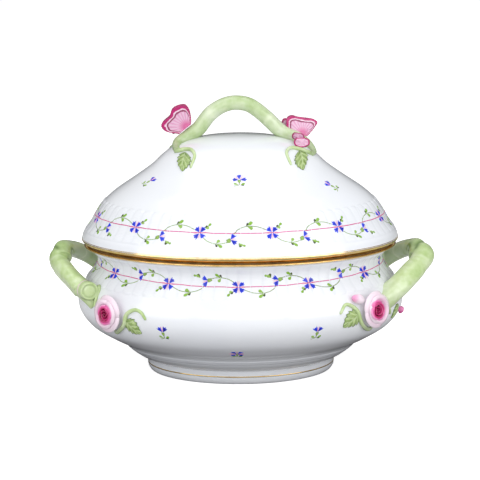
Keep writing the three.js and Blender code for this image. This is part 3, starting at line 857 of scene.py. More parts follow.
def garland(painter, line_height, rise, first, flip):
    """The vine with its flowers and the pink line, all round, rise higher at the handles than in
    the middle of the front. flip turns the motif upside down."""
    wall = painter.wall
    sign = -1 if flip else 1

    def at(origin, t, y):
        degrees = spaced(origin + sign * t)
        middle = line_height + rise * np.sin(np.radians(degrees)) ** 2
        return degrees, middle + sign * y * wall.climb(line_height)[1]

    for period in range(GARLAND_PERIODS):
        origin = first + period * PANEL
        turned = 180 if flip else 0
        for vine in (LOWER_VINE, UPPER_VINE):
            painter.line("green", [at(origin, t, y) for t, y in vine], 0.9, 0.52)
        for t, y, direction, length, width, shade in GARLAND_LEAVES:
            spread = direction + turned + rng.uniform(-6, 6)
            length, width = length * LEAF_GROWTH[0], width * LEAF_GROWTH[1]
            painter.blade(*at(origin, t, y), (0, 0), spread, length, width, shade)
        for direction in FULL_PETALS:
            spread = direction + rng.uniform(-5, 5)
            start = turned_flat(np.array([(0.3, 0.0)]), spread)[0]
            length = PETAL_LENGTH * rng.uniform(0.94, 1.06)
            painter.petal(*at(origin, 0, 0), start, spread, length, PETAL_WIDTH)
        painter.stamens(*at(origin, 0, 0), (0, 90, 180, 270), 5.8)
        painter.calyx(*at(origin, *HALF_FLOWER), 12 + turned, 4.0)
        for direction in HALF_PETALS:
            spread = direction + turned + rng.uniform(-4, 4)
            painter.petal(*at(origin, *HALF_FLOWER), (0, 0), spread, 6.0, 4.2)
        painter.stamens(*at(origin, *HALF_FLOWER), (12 + turned,), 5.4)
        join = origin + sign * (HALF_FLOWER[0] + 0.6)
        wobble = rng.uniform(-0.3, 0.3, 9)
        wobble[4] = 0.0
        route = [at(join, PANEL * i / 8, w) for i, w in enumerate(wobble)]
        painter.line("pink", route, 1.1, 0.8)


# Scattered sprigs as (degrees, z, direction of the flower, leans of its petals).
TRIO, PAIR, CROSS = (-86, 0, 84), (-34, 33), (-128, -42, 42, 128)
LID_SPRIGS = [(-0.2, 179.4, 92, TRIO), (-58.2, 174.8, 62, PAIR), (53.9, 170.8, 120, PAIR)]
BOWL_SPRIGS = [(-27.2, 55.4, 92, PAIR), (26.8, 54.8, 90, PAIR), (-1.5, 35.2, 90, CROSS)]
SPRIG_SIZE = 1.06
# Its stalk and its twig as (places back from the flower and aside, width, shade).
SPRIG_STROKES = [
    ([(3.2, 0), (4.6, 0.1), (5.6, 0.4)], 0.9, 0.3),
    ([(5.3, 0.2), (5.9, 2.2), (6.3, 4.4)], 0.8, 0.55),
]
# Its leaves as (place aside, degrees from the sprig's direction, length, width, shade).
SPRIG_LEAVES = [(0.4, 62, 4.8, 2.3, 0.8), (-0.4, -66, 4.6, 2.3, 0.9), (-0.32, -96, 3.6, 1.2, 0.0)]


def sprig(painter, degrees, z, direction, leans):
    """A flower on its green cup over a short stalk and two leaves, about 12 mm tall."""
    wall = painter.wall

    def at(back, aside):
        """A place behind the flower, as (x, y) millimetres."""
        return turned_flat(np.array([(-back, aside)], float) * SPRIG_SIZE, direction)[0]

    for route, width, shade in SPRIG_STROKES:
        x, y = np.array([at(*place) for place in route]).T
        painter.line("green", np.column_stack(wall.shift(degrees, z, x, y)), width, shade)
    painter.calyx(degrees, z, direction, 3.9)
    for lean in leans:
        start = turned_flat(np.array([(0.3, 0.0)]), direction + lean)[0]
        length = PETAL_LENGTH * rng.uniform(0.95, 1.08)
        painter.petal(degrees, z, start, direction + lean, length, 4.1)
    gaps = (0,) if leans is PAIR else [0.5 * (a + b) for a, b in zip(leans, leans[1:])]
    painter.stamens(degrees, z, [direction + gap for gap in gaps], 6.3)
    for aside, lean, length, width, shade in SPRIG_LEAVES:
        painter.blade(degrees, z, at(5.4, aside), direction + lean, length, width, shade)


def paint():
    lid, bowl = Painter(LID_WALL, "lid"), Painter(BOWL_WALL, "bowl")
    garland(lid, LID_LINE, LID_RISE, LID_FIRST, False)
    garland(bowl, BOWL_LINE, BOWL_RISE, BOWL_FIRST, True)
    for turn in (0, 180):
        for degrees, *settings in LID_SPRIGS:
            sprig(lid, degrees + turn, *settings)
        for degrees, *settings in BOWL_SPRIGS:
            sprig(bowl, degrees + turn, *settings)
    lid.build("lid_painting")
    bowl.build("bowl_painting")


# ---- Branches ----------------------------------------------------------------------------------
# A side handle on the right: its front limb comes down low on the belly, its rear limb stays high.
FRONT_LIMB = [
    (119, -50, 68), (128, -47.5, 74.5), (137.8, -44, 81.8), (145.9, -36, 87.9), (153.9, -26, 94.1),
    (160.2, -14, 99.7), (161, -5, 103.2), (157.5, 1.5, 104.5),
]
REAR_LIMB = [
    (158, -10, 100.5), (158.6, -4, 103.6), (157.2, 4, 106.4), (149.2, 21.5, 102.4), (139.8, 33.5, 95.6),
    (132, 41.5, 88.6), (123, 45.5, 82),
]
FRONT_KNOB = [(139, -42.5, 83), (134.5, -47, 81.8), (131, -53, 81.9), (129.9, -57, 82.1)]
REAR_KNOB = [(123, 31, 91.5), (125.5, 40, 88.5), (127.6, 47, 86.2), (128, 48.8, 85.8)]
FRONT_PAD = [(138, -42, 82), (131, -48, 74), (126.5, -51, 67)]
REAR_PAD = [(128, 43, 84), (131, 45, 77), (131, 46, 71)]
ARCH_ROUTE = [
    (-53.8, -21.5, 198.9), (-55.2, -13, 201.2), (-53.2, -5, 204.6), (-45.4, 0, 208.6),
    (-36.9, 0, 214.6), (-33.8, 0, 217.9), (-26.2, 0, 227.6), (-18.1, 0, 233.8), (-10, 0, 237.2),
    (-2, 0, 238.2), (7.6, 0, 236.6), (15.4, 0, 232.1), (23, 0, 225.8), (29.3, 0, 219.8),
    (34.5, 0, 214.8), (43, 0, 209.6), (52, -2, 206), (59, -3.6, 202), (63.2, -6.6, 198.2),
    (65, -11, 195.2), (62.6, -19, 194.8),
]
ARCH_RADIUS = 6.4
ARCH_NODES = (0.335, 0.655)  # shares of the way along it
ARCH_ENDS = (0.48, 0.34)  # its left and right ends' shares of the full radius
LIMB_POINTS, KNOB_POINTS, PAD_POINTS = 70, 22, 18
LIMB_SIDES, KNOB_SIDES, PAD_SIDES = 56, 40, 32
ARCH_POINTS, ARCH_SIDES = 150, 48
FUSED_MESH, FUSED_SMOOTHING = 0.7, 4  # millimetres between the points of a fused branch, and rounds
RING_BACK = 10.5  # from a stub's cut face back to the pale ring round it
FACE_LIP, FACE_GROOVE = 7.2, 5.5  # radii of the raised lip and the groove on a stub's cut face


def ridges(seed, strength, length):
    """Long soft ridges for a branch, as a function of the way along it and the angle round it."""
    source = np.random.default_rng(seed)
    waves = [
        (m, source.uniform(-1, 1) * 2 * np.pi / length, source.uniform(0, 2 * np.pi), strength / m**0.7)
        for m in (1, 2, 3, 3, 5)
        for _ in range(2)
    ]

    def relief(along, angle):
        return 1 + sum(a * np.sin(m * angle + w * along + p) for m, w, p, a in waves)

    return relief


def fused(parts):
    """One closed surface from overlapping ones, with its joints softened."""
    whole = Body()
    for points, faces in parts:
        whole.add(points, faces)
    mesh = bpy.data.meshes.new("fusing")
    mesh.from_pydata(np.vstack(whole.points).tolist(), [], whole.faces)
    draft = bpy.data.objects.new("fusing", mesh)
    bpy.context.scene.collection.objects.link(draft)
    remesh = draft.modifiers.new("fuse", "REMESH")
    remesh.mode = "VOXEL"
    remesh.voxel_size = FUSED_MESH
    smooth = draft.modifiers.new("soften", "SMOOTH")
    smooth.factor = 0.5
    smooth.iterations = FUSED_SMOOTHING
    made = bpy.data.meshes.new_from_object(draft.evaluated_get(bpy.context.evaluated_depsgraph_get()))
    points = np.empty(len(made.vertices) * 3)
    made.vertices.foreach_get("co", points)
    faces = [list(face.vertices) for face in made.polygons]
    bpy.data.objects.remove(draft)
    bpy.data.meshes.remove(mesh)
    bpy.data.meshes.remove(made)
    return points.reshape(-1, 3), faces


def nearest(points, line):
    """For each point, the length along the line of its nearest place and the distance to it."""
    along = length_along(line)
    best, where = np.full(len(points), 1e9), np.zeros(len(points))
    for place, at in zip(line, along):
        distance = np.linalg.norm(points - place, axis=1)
        closer = distance < best
        best[closer], where[closer] = distance[closer], at
    return where, best


def half_turn(points):
    return np.asarray(points) * (-1, -1, 1)


def limbs_of(front, rear, radii, seed):
    """The two limbs of a side handle, thick at their roots and knuckled where they meet."""
    front_radius, rear_radius = radii
    share = np.linspace(0, 1, len(front))
    knuckle = 1 + 0.10 * hump(share, 0.86, 0.08) - 0.05 * hump(share, 0.66, 0.06)
    rounded = np.sqrt(np.clip((1 - share) / 0.07, 0.02, 1))
    flare = 1 + 0.12 * smoothstep(0.3 - share, 0, 0.3)
    rear_swell = 1 + 0.12 * smoothstep(share, 0.8, 1) + 0.12 * smoothstep(0.4 - share, 0, 0.3)
    return [
        tube(sweep(front, front_radius * knuckle * rounded * flare, LIMB_SIDES, ridges(seed, 0.044, 70))),
        tube(sweep(rear, rear_radius * rear_swell, LIMB_SIDES, ridges(seed + 1, 0.024, 100))),
    ]


def dished(points, knob_line):
    """The points with the stub's cut face dished inside a raised lip of bark, and the groove's depth
    from 0 to 1 at each."""
    face_middle = knob_line[-1]
    face_out = knob_line[-1] - knob_line[-6]
    face_out /= np.linalg.norm(face_out)
    rise = (points - face_middle) @ face_out
    radius = np.linalg.norm(points - face_middle - rise[:, None] * face_out, axis=1)
    on_face = hump(rise, 0, 2.6) * smoothstep(10.5 - radius, 0, 1.5)
    lip = 0.5 * hump(radius, FACE_LIP, 1.2) - 0.6 * hump(radius, FACE_GROOVE - 0.1, 1.0)
    groove = 0.6 * on_face * hump(radius, FACE_GROOVE, 0.8)
    return points + face_out * (on_face * lip)[:, None], groove


def branch_tints(points, front, rear, knob_line, groove):
    """Where a side handle is darker, paler or pink."""
    on_front, front_gap = nearest(points, front)
    on_rear, rear_gap = nearest(points, rear)
    is_rear = smoothstep(front_gap - rear_gap, -1.0, 1.5)
    front_share, rear_share = on_front / length_along(front)[-1], on_rear / length_along(rear)[-1]
    elbow = smoothstep(front_share, 0.78, 0.86) * smoothstep(0.26 - rear_share, 0, 0.06)
    crease = hump(front_gap - rear_gap, 0.6, 0.7) * elbow
    uneven_edge = 0.012 * np.sin(points[:, 2] * 0.55) + 0.008 * np.sin(points[:, 1] * 0.8)
    scar = hump(rear_share + uneven_edge, 0.55, 0.016) * is_rear
    patch = 0.5 * hump(front_share + 2 * uneven_edge, 0.72, 0.04) * (1 - is_rear)
    fine_knob = evenly(knob_line, 160)
    on_knob, knob_gap = nearest(points, fine_knob)
    ring = np.abs(on_knob - length_along(fine_knob)[-1] + RING_BACK)
    pink = smoothstep(1.2 - ring, 0, 0.5) * smoothstep(points[:, 2] - knob_line[-1, 2], -5, -2)
    return {
        # Painted shade on the rear limb; pooled enamel and painted shade in the cut face's groove and the
        # elbow crease.
        "pooling_and_painted_shade": np.clip(0.2 * is_rear + 0.6 * groove + 0.8 * crease, 0, 1),
        "pale": np.clip(scar + patch, 0, 1) * (1 - groove),
        "pink": pink * smoothstep(11 - knob_gap, 0, 1),
    }


def side_handle(name, side, front_route, radii, rear_lift, knob_route, pad_route, seed):
    """Two overlapping limbs, a cut stub and the pad under it, fused and glazed as one branch."""
    mirror = np.array((side, 1, 1))
    *limb_radii, knob_width = radii
    front = evenly(catmull(front_route, 16), LIMB_POINTS) * mirror
    rear = (evenly(catmull(REAR_LIMB, 16), LIMB_POINTS) + (0, 0, rear_lift)) * mirror
    knob_line = evenly(catmull(knob_route, 10), KNOB_POINTS) * mirror
    knob_radius = knob_width * (1 - 0.13 * smoothstep(np.linspace(0, 1, KNOB_POINTS), 0.86, 1.0))
    pad_line = evenly(catmull(pad_route, 10), PAD_POINTS) * mirror
    pad_radius = np.linspace(8.4, 3.8, PAD_POINTS)
    knob = tube(sweep(knob_line, knob_radius, KNOB_SIDES))
    pad = tube(sweep(pad_line, pad_radius, PAD_SIDES))
    points, faces = fused([*limbs_of(front, rear, limb_radii, seed), knob, pad])
    points, groove = dished(points, knob_line)
    tints = branch_tints(points, front, rear, knob_line, groove)
    make_piece(f"{name}_branch", points, faces, GREEN, "bowl", [name], tints)


def side_handles():
    side_handle("left_handle", -1, FRONT_LIMB[2:], (8.0, 7.6, 8.2), 1.7, FRONT_KNOB, FRONT_PAD, 11)
    side_handle("right_handle", 1, FRONT_LIMB, (9.3, 7.8, 8.4), 0, REAR_KNOB, REAR_PAD, 23)


def arch_handle():
    line = evenly(catmull(ARCH_ROUTE, 12), ARCH_POINTS)
    along = length_along(line)
    share = along / along[-1]
    swell = 1 + sum(0.025 * hump(share, at, 0.016) for at in ARCH_NODES)
    thin = np.where(share < 0.5, *ARCH_ENDS)
    taper = thin + (1 - thin) * smoothstep(np.minimum(share, 1 - share), 0.0, 0.21)
    rings = sweep(line, ARCH_RADIUS * swell * taper, ARCH_SIDES, ridges(5, 0.012, 110))
    points, faces = tube(rings)
    share = np.append(np.repeat(share, ARCH_SIDES), (0, 1))
    wave = 0.008 * np.sin(points[:, 1] * 0.7)
    pale = sum(0.75 * hump(share + wave, at, 0.011) for at in ARCH_NODES)
    # Painted shade: the arch is darker low down towards its feet.
    under = 0.3 * smoothstep(230 - points[:, 2], 0, 30) * smoothstep(np.abs(share - 0.5), 0.2, 0.42)
    tints = {"pooling_and_painted_shade": under, "pale": np.clip(pale, 0, 1), "pink": np.zeros(len(points))}
    make_piece("arch_handle", points, faces, ARCH_GREEN, "lid", ["lid_handle"], tints)


# ---- Tendrils, leaves, buds and roses ------------------------------------------------------------
TENDRIL_STEP, TENDRIL_SIDES = 0.9, 18


def tendril(wall, places, radius):
    """A shoot that rises out of a wall and lies on it, thinning towards its tip."""
    fine = catmull(places, 14)
    count = max(16, int(length_along(wall.place(fine[:, 0], fine[:, 1]))[-1] / TENDRIL_STEP))
    at = np.linspace(0, len(fine) - 1, count)
    degrees, z = (np.interp(at, np.arange(len(fine)), fine[:, i]) for i in (0, 1))
    share = np.linspace(0, 1, count)
    thick = radius * (1.06 - 0.5 * share**2) * np.sqrt(np.clip((1 - share) / 0.03, 0.02, 1))
    thick *= np.sqrt(np.clip(share / 0.03, 0.05, 1))
    rooted = smoothstep(share, 0, 0.14)
    line = wall.place(degrees, z, thick * (1.45 * rooted - 0.9))
    points, faces = tube(sweep(line, thick, TENDRIL_SIDES))
    # Painted shade: the shoot is darker at its root, where it rises out of the wall.
    shade = np.append(np.repeat(0.45 * (1 - smoothstep(share, 0, 0.4)), TENDRIL_SIDES), (0.4, 0))
    nothing = np.zeros(len(points))
    return points, faces, {"pooling_and_painted_shade": shade, "pale": nothing, "pink": nothing}


LEAF_TEETH = 5
LEAF_VEINS = 4
LEAF_GRID = (57, 33)  # points along it and across it


def leaf(wall, place, length, width, spin, shift=Wall.shift, thickness=1.9):
    """A serrated, pillowed leaf with sunk veins, from its stalk to its tip towards spin."""
    rows, columns = LEAF_GRID
    v = np.linspace(0, 1, rows)[:, None]
    u = np.linspace(-1, 1, columns)[None, :]
    saw = (v * LEAF_TEETH) % 1.0
    half = 0.5 * np.sin(np.pi * v**0.76) ** 0.8
    half = half * (1 + 0.3 * (saw - 0.5) * smoothstep(v, 0.06, 0.2)) + 0.012
    x = (v - 0.5) * length + 0 * u
    y = u * half * width + 0.03 * width * np.sin(2 * np.pi * v)
    slant = (v - 0.34 * np.abs(u) ** 0.9) * LEAF_VEINS
    side_vein = hump(slant % 1.0, 0.5, 0.13) * smoothstep(np.abs(u), 0.03, 0.12)
    side_vein = side_vein * smoothstep(1 - np.abs(u), 0.0, 0.2)
    midrib = hump(u, 0, 0.08) + 0 * v
    edge = smoothstep(np.abs(u), 0.86, 1.0) + 0 * v
    dome = (1 - np.abs(u) ** 3.2) * np.sin(np.pi * np.clip(v, 0.02, 0.98)) ** 0.35
    height = thickness * (0.3 + 0.7 * dome) - 0.5 * side_vein - 0.45 * midrib
    flat = turned_flat(np.stack([x, y], -1).reshape(-1, 2), spin).reshape(rows, columns, 2)
    degrees, z = shift(wall, place[0], place[1], flat[..., 0], flat[..., 1])
    top = wall.place(degrees, z, height)
    bottom = wall.place(degrees, z, np.full(height.shape, -0.35))
    beside = smoothstep(np.abs(slant % 1.0 - 0.5), 0.2, 0.42)
    dark = np.clip(0.8 * edge + 0.35 * beside + 0.6 * smoothstep(0.3 - v, 0, 0.26), 0, 1)
    vein = np.clip(0.8 * side_vein + 0.8 * midrib, 0, 1) * (1 - edge)
    points = np.vstack([top.reshape(-1, 3), bottom.reshape(-1, 3)])
    under = np.zeros(rows * columns)
    tints = {"dark": np.append(dark.ravel(), under + 1), "vein": np.append(vein.ravel(), under)}
    return points, slab_faces(rows, columns), tints


def stand_on(wall, place, points, spin=0.0, lift=0.0):
    """Carries points made about a local +Z to a place on the wall, along its normal."""
    here, side, up, out = wall.frame_at(*place)
    flat = turned_flat(points[:, :2], spin)
    return here + flat[:, :1] * side + flat[:, 1:] * up + (points[:, 2:] + lift) * out


def petal_grid(middle, span, inner, outer, height, curl, rows=15, columns=29):
    """A rose petal: a crescent of angles that climbs from an inner radius and rolls over its lip."""
    u = np.linspace(-1, 1, columns)[:, None]
    v = np.linspace(0, 1, rows)[None, :]
    reach = np.sqrt(np.clip(1 - np.abs(u) ** 3.2, 0.02, 1))
    angle = np.radians(middle + span * u)
    radius = inner + (outer - inner) * reach * (0.18 * v + 0.82 * v**1.6)
    climb = np.sin(np.clip(v / 0.82, 0, 1) * np.pi / 2)
    roll = smoothstep(v, 0.74, 1.0)
    lift = height * (0.45 + 0.55 * reach) * climb - curl * roll
    ruffle = 0.22 * np.sin(3.1 * angle + middle) * v**2
    return np.stack([radius * np.cos(angle), radius * np.sin(angle), lift + ruffle], -1)


# Rose petals as (middle angle, half span, inner radius, outer radius, height, curl, shade).
OUTER_PETALS = [
    (62, 92, 6.5, 16.3, 6.2, 2.0, 0.03), (178, 84, 6.5, 16.0, 5.8, 1.9, 0.06),
    (292, 88, 6.5, 16.2, 5.6, 1.9, 0.02), (18, 90, 6.0, 13.0, 8.2, 1.4, 0.06),
    (140, 96, 6.0, 12.7, 7.9, 1.4, 0.03), (255, 88, 6.0, 12.9, 8.0, 1.3, 0.07),
]
INNER_PETALS = [
    (272, 100, 4.6, 9.5, 8.8, 1.1, 0.4), (32, 88, 4.6, 8.9, 9.0, 1.1, 0.46),
    (150, 84, 4.6, 8.7, 9.1, 1.0, 0.36), (90, 100, 3.4, 7.4, 9.6, 0.8, 0.56),
    (215, 94, 3.4, 7.3, 9.5, 0.8, 0.64), (330, 86, 3.4, 7.4, 9.4, 0.8, 0.6),
]


def rose_heart():
    """The closed heart of a rose: a thick ribbon wound in a spiral, dark at its middle."""
    turns, columns, rows = 2.2, 90, 7
    t = np.linspace(0, 1, columns)[:, None]
    v = np.linspace(0, 1, rows)[None, :]
    angle = 2 * np.pi * turns * t
    radius = (0.5 + 4.9 * t) * (0.82 + 0.18 * v)
    lift = 3.0 + (6.6 + 0.5 * np.sin(2.4 * angle) - 0.8 * (1 - t)) * v
    return np.stack([radius * np.cos(angle), radius * np.sin(angle), lift], -1)


# The cup under the petals and the core inside the spiral, as (radius, height).
ROSE_CUP = [(7, -2), (10.5, -1), (11.5, 0.8), (9.0, 2.2), (5, 3)]
ROSE_CORE = [(4.6, 1), (4.6, 5), (3.4, 6.4), (1.4, 6.8)]
CUP_SIDES = 28
PINK_SHADE = 0.3  # petals with a deeper shade than this belong to the coloured middle


def rose(name, place, spin, heart_shift, turned):
    """The petals of one rose and its heart, which stands heart_shift round from their middle."""
    petals, heart = Body(), Body()
    for shape, collect in ((OUTER_PETALS, petals), (INNER_PETALS, heart)):
        for middle, span, inner, outer, height, curl, shade in shape:
            grid = petal_grid(middle, span, inner, outer, height, curl)
            v = np.linspace(0, 1, grid.shape[1])[None, :] + np.zeros(grid.shape[:2])
            thick = 1.15 * (1 - 0.45 * v)
            points, faces = sheet(grid, thick)
            lip = smoothstep(v, 0.55, 1.0)
            # Darker towards each petal's base: partly the rose's deeper colour, partly painted shade where
            # petals overlap.
            tone = shade + (0.32 if shade > PINK_SHADE else 0.2) * (1 - lip)
            collect.add(points, faces, shade=np.tile(tone.ravel(), 2))
    grid = rose_heart()
    points, faces = sheet(grid, 0.75)
    t = np.linspace(0, 1, grid.shape[0])[:, None] + np.zeros(grid.shape[:2])
    tone = 0.9 - 0.2 * t
    heart.add(points, faces, shade=np.tile(tone.ravel(), 2))
    petals.add(*tube(turned_rings(ROSE_CUP, CUP_SIDES)), shade=0.1)
    heart.add(*tube(turned_rings(ROSE_CORE, CUP_SIDES)), shade=0.9)
    heart_place = BOWL_WALL.shift(*place, heart_shift, 0)
    side = "back" if turned else "front"
    for part, collected, centre, slot in (
        ("petals", petals, place, "petal_blush"), ("heart", heart, heart_place, "heart_crimson"),
    ):
        collected.points = [stand_on(BOWL_WALL, centre, points, spin) for points in collected.points]
        if turned:
            collected.points = [half_turn(points) for points in collected.points]
        node = f"{side}_{name}_{part}"
        collected.build(f"{node}_modelled", ROSE, "bowl", slot, [node])


def bud(wall, place, length, radius, spin, base_shade, tip_shade):
    """A closed bud lying on the wall, its wrapped petals opening towards spin."""
    count, sides = 30, 28
    t = np.linspace(0, 1, count)
    profile = radius * np.sin(np.pi * np.clip(0.08 + 0.84 * t, 0, 1) ** 0.85) ** 0.75
    angle = np.arange(sides) * 2 * np.pi / sides
    wrap = 1 + 0.10 * np.abs(np.sin(1.5 * angle[None, :] + 3.2 * t[:, None]))
    ring_radius = profile[:, None] * wrap
    rings = np.stack([
        np.broadcast_to((t[:, None] - 0.5) * length, ring_radius.shape),
        ring_radius * np.cos(angle), ring_radius * np.sin(angle),
    ], -1)
    points, faces = tube(rings)
    t_all = np.append(np.repeat(t, sides), (0, 1))
    shade = base_shade + (tip_shade - base_shade) * smoothstep(t_all, 0.35, 0.95)
    return stand_on(wall, place, points, spin, radius * 0.8), faces, {"shade": shade}


LEFT_ROSE, RIGHT_ROSE = (-50, 66.4), (51.5, 67.6)
BOWL_TRIM = {
    "rose_a_stem": (
        tendril, BOWL_WALL, [(-63, 85), (-61.6, 83.4), (-61, 80), (-60.2, 74), (-59.8, 68)], 1.7,
    ),
    "rose_a_tendril": (
        tendril, BOWL_WALL,
        [
            (-51, 49.2), (-47.4, 51.6), (-43, 58.9), (-41.4, 68.1), (-38.2, 72.5), (-35.2, 70.9),
            (-33.2, 65.4),
        ],
        1.9,
    ),
    "rose_a_leaf": (leaf, BOWL_WALL, (-39.3, 57.4), 17.5, 13.5, -35),
    "rose_b_stem": (tendril, BOWL_WALL, [(61.0, 71), (61.4, 67), (62.6, 62.6), (63.6, 58.5)], 1.4),
    "rose_b_tendril": (
        tendril, BOWL_WALL,
        [(55, 49), (49, 52), (44.6, 59.7), (42.8, 68.9), (40.2, 74.3), (37.8, 74.9), (35.2, 68.4)], 1.9,
    ),
    "rose_b_leaf": (leaf, BOWL_WALL, (40.3, 62.2), 19, 14.5, 216),
    "rose_b_side_leaf": (leaf, BOWL_WALL, (69.2, 59.0), 14, 7.5, 238),
    "rose_b_pale_bud": (bud, BOWL_WALL, (43.8, 77.8), 11.6, 4.0, 160, 0.02, 0.42),
    "rose_b_pink_bud": (bud, BOWL_WALL, (76, 57.6), 6.6, 2.5, -85, 0.5, 0.66),
}
LID_TRIM = {
    "shoot_a": (
        tendril, LID_WALL,
        [(-64, 198.2), (-58.5, 198.7), (-52, 200.4), (-43.5, 200.2), (-36.2, 196.2), (-34, 187)], 1.8,
    ),
    "shoot_a_leaf": (leaf, LID_WALL, (-42.8, 191.4), 15.8, 11.2, -99, Wall.shift_seen),
    "shoot_b": (
        tendril, LID_WALL,
        [(69, 194.8), (65.5, 196.2), (60, 198.8), (50, 201), (40.2, 197.8), (37, 188.4)], 1.8,
    ),
    "shoot_b_leaf": (leaf, LID_WALL, (49.2, 191.2), 15.8, 11.2, -80, Wall.shift_seen),
}


TRIM_LOOKS = {
    tendril: (GREEN, "branch_green"), leaf: (LEAF, "leaf_green"), bud: (ROSE, "petal_blush"),
}


def trim(pieces, body):
    """Every shoot, leaf and bud, on the front and again half a turn round."""
    for name, (make, wall, *settings) in pieces.items():
        points, faces, tints = make(wall, *settings)
        material, slot = TRIM_LOOKS[make]
        if name == "rose_b_pink_bud":
            slot = "heart_crimson"
        faces = outward(points, faces)
        for side, placed in (("front", points), ("back", half_turn(points))):
            node = f"{side}_{name}"
            make_piece(f"{node}_modelled", placed, faces, material, body, [node], tints)


# ---- Butterflies -------------------------------------------------------------------------------
FOLDED_WING = [
    (-4.2, -4), (-15.4, -1.6), (-19.8, 3.1), (-18.4, 7.4), (-12.5, 12.8), (-10.3, 18.4), (-5.2, 21.3),
    (1.2, 21.7), (5, 16.1), (6.2, 9), (6.2, 4.8),
]
SPREAD_WING = [
    (-6, -2.5), (-9, 3), (-9.2, 9), (-7.5, 12), (-3.5, 13), (1, 11.6), (6, 11), (11, 10.2), (15, 9.2),
    (18.4, 6.2), (16, 1.8), (12.4, -2.6), (8.5, -6), (2, -5),
]
SMALL_WING = [(-1.4, 1), (-4.4, 7), (-3.8, 11.4), (-1.4, 13), (1.6, 11), (2, 4), (1.2, 1)]
LOWER_WING = [(-4.4, -2.5), (-6.4, -6), (-4.6, -9.6), (1, -11.2), (6.8, -9), (7.4, -5), (4, -2)]
ROLLED_WING = [(-5.6, -1.6), (-6, 1.6), (-3.4, 4.2), (1.8, 3.6), (4.6, 1.4), (4.4, -2), (0, -3)]
WING_THICKNESS = 1.1
WING_POINTS = 120  # round each outline
WING_FRILL = 0.16
WING_VEINS = 26
BODY_POINTS, BODY_SIDES, BODY_RINGS = 40, 20, 60
# name: (outline, root, turn, lean, cupping, middle of the radial veins, whether it has one border)
WINGS = {
    "left_butterfly_near_wing": (FOLDED_WING, (-48.4, -3, 215), 0, 7, 0.9, (2.4, 2.6)),
    "left_butterfly_far_wing": (FOLDED_WING, (-48.4, 3, 215), 0, -7, -0.9, (2.4, 2.6)),
    "right_butterfly_big_wing": (SPREAD_WING, (50.6, -1.2, 214), 4, -10, 0.8, (5, -3.6)),
    "right_butterfly_small_wing": (SMALL_WING, (41.2, 7.8, 210.4), -20, -12, 0.4, (0.2, 2.5), True),
    "right_butterfly_rolled_wing": (ROLLED_WING, (52, -12, 208.6), 6, -25, 1.5, (-0.5, 0.4), True),
    "right_butterfly_lower_wing": (LOWER_WING, (54, -15.8, 210.4), -4, -30, 0.7, (0.6, -6.4), True),
}


BUTTERFLY_BODIES = {
    "left_butterfly_body": [(-58.6, 0, 211.2), (-50, 0, 217.4), (-42.6, 0, 223.6)],
    "right_butterfly_body": [(42.5, 1.5, 220.5), (46.5, 1.2, 216.5), (50, 1, 212.5)],
}


def wing(outline, root, turn, lean, cup, origin, plain=False):
    """A cupped wing: rings shrinking from its outline towards the place its veins spring from."""
    edge = evenly(catmull(outline, 16), WING_POINTS)
    number = np.arange(WING_POINTS)
    edge += WING_FRILL * np.stack([np.sin(number * 1.9), np.cos(number * 2.3)], -1)
    reaches = np.concatenate([[1.0, 0.985, 0.96], np.linspace(0.93, 0.1, 22)])
    origin = np.asarray(origin, float)
    span = np.linalg.norm(edge - origin, axis=1).max()
    flat = origin + (edge - origin) * reaches[:, None, None]
    off = np.linalg.norm(flat - origin, axis=2) / span
    bearing = np.arctan2((flat - origin)[..., 1], (flat - origin)[..., 0])
    veins = (0.5 + 0.5 * np.cos(bearing * WING_VEINS)) ** 3
    depth = cup * 2.2 * (off**2 - 0.4) + 0.5 * np.sin(3 * bearing) * off**2
    half = WING_THICKNESS / 2 * np.sqrt(np.clip((1.0 - reaches) / 0.05, 0.12, 1))[:, None]
    emboss = 0.16 * veins * smoothstep(off, 0.15, 0.35) * smoothstep(1 - reaches, 0.25, 0.4)[:, None]
    front = np.dstack([flat, depth + half + emboss])
    back = np.dstack([flat, depth - half])
    points, faces = tube(np.concatenate([front[::-1], back]))
    if plain:
        reaches = np.where(reaches > 0.8, 0.86 + 0.7 * (reaches - 0.8), 0.8 * reaches)

    def both_sides(values, middle):
        return np.concatenate([values[::-1].ravel(), values.ravel(), [middle, middle]])

    tints = {
        "reach": both_sides(np.broadcast_to(reaches[:, None], off.shape), 0.1),
        "ray": both_sides(veins, 0), "off": both_sides(off + plain, plain),
    }
    tilt, spin = np.radians(90 + lean), np.radians(turn)
    x, y, z = points.T
    y, z = y * np.cos(tilt) - z * np.sin(tilt), y * np.sin(tilt) + z * np.cos(tilt)
    x, y = x * np.cos(spin) - y * np.sin(spin), x * np.sin(spin) + y * np.cos(spin)
    return np.stack([x, y, z], -1) + root, faces, tints


def butterflies():
    for name, settings in WINGS.items():
        points, faces, tints = wing(*settings)
        faces = outward(points, faces)
        make_piece(f"{name}_modelled", points, faces, WING, "lid", [name], tints)
    for name, route in BUTTERFLY_BODIES.items():
        line = evenly(catmull(route, 12), BODY_POINTS)
        share = np.linspace(0, 1, BODY_POINTS)
        ringed = 1 + 0.08 * np.cos(share * BODY_RINGS)
        radius = (0.25 + 2.0 * np.sin(np.pi * np.clip(share, 0.02, 0.98)) ** 0.6) * ringed
        points, faces = tube(sweep(line, radius, BODY_SIDES))
        faces = outward(points, faces)
        every = np.ones(len(points))
        dark = {"reach": 0.99 * every, "ray": 0 * every, "off": every}
        make_piece(f"{name}_modelled", points, faces, WING, "lid", [name], dark)


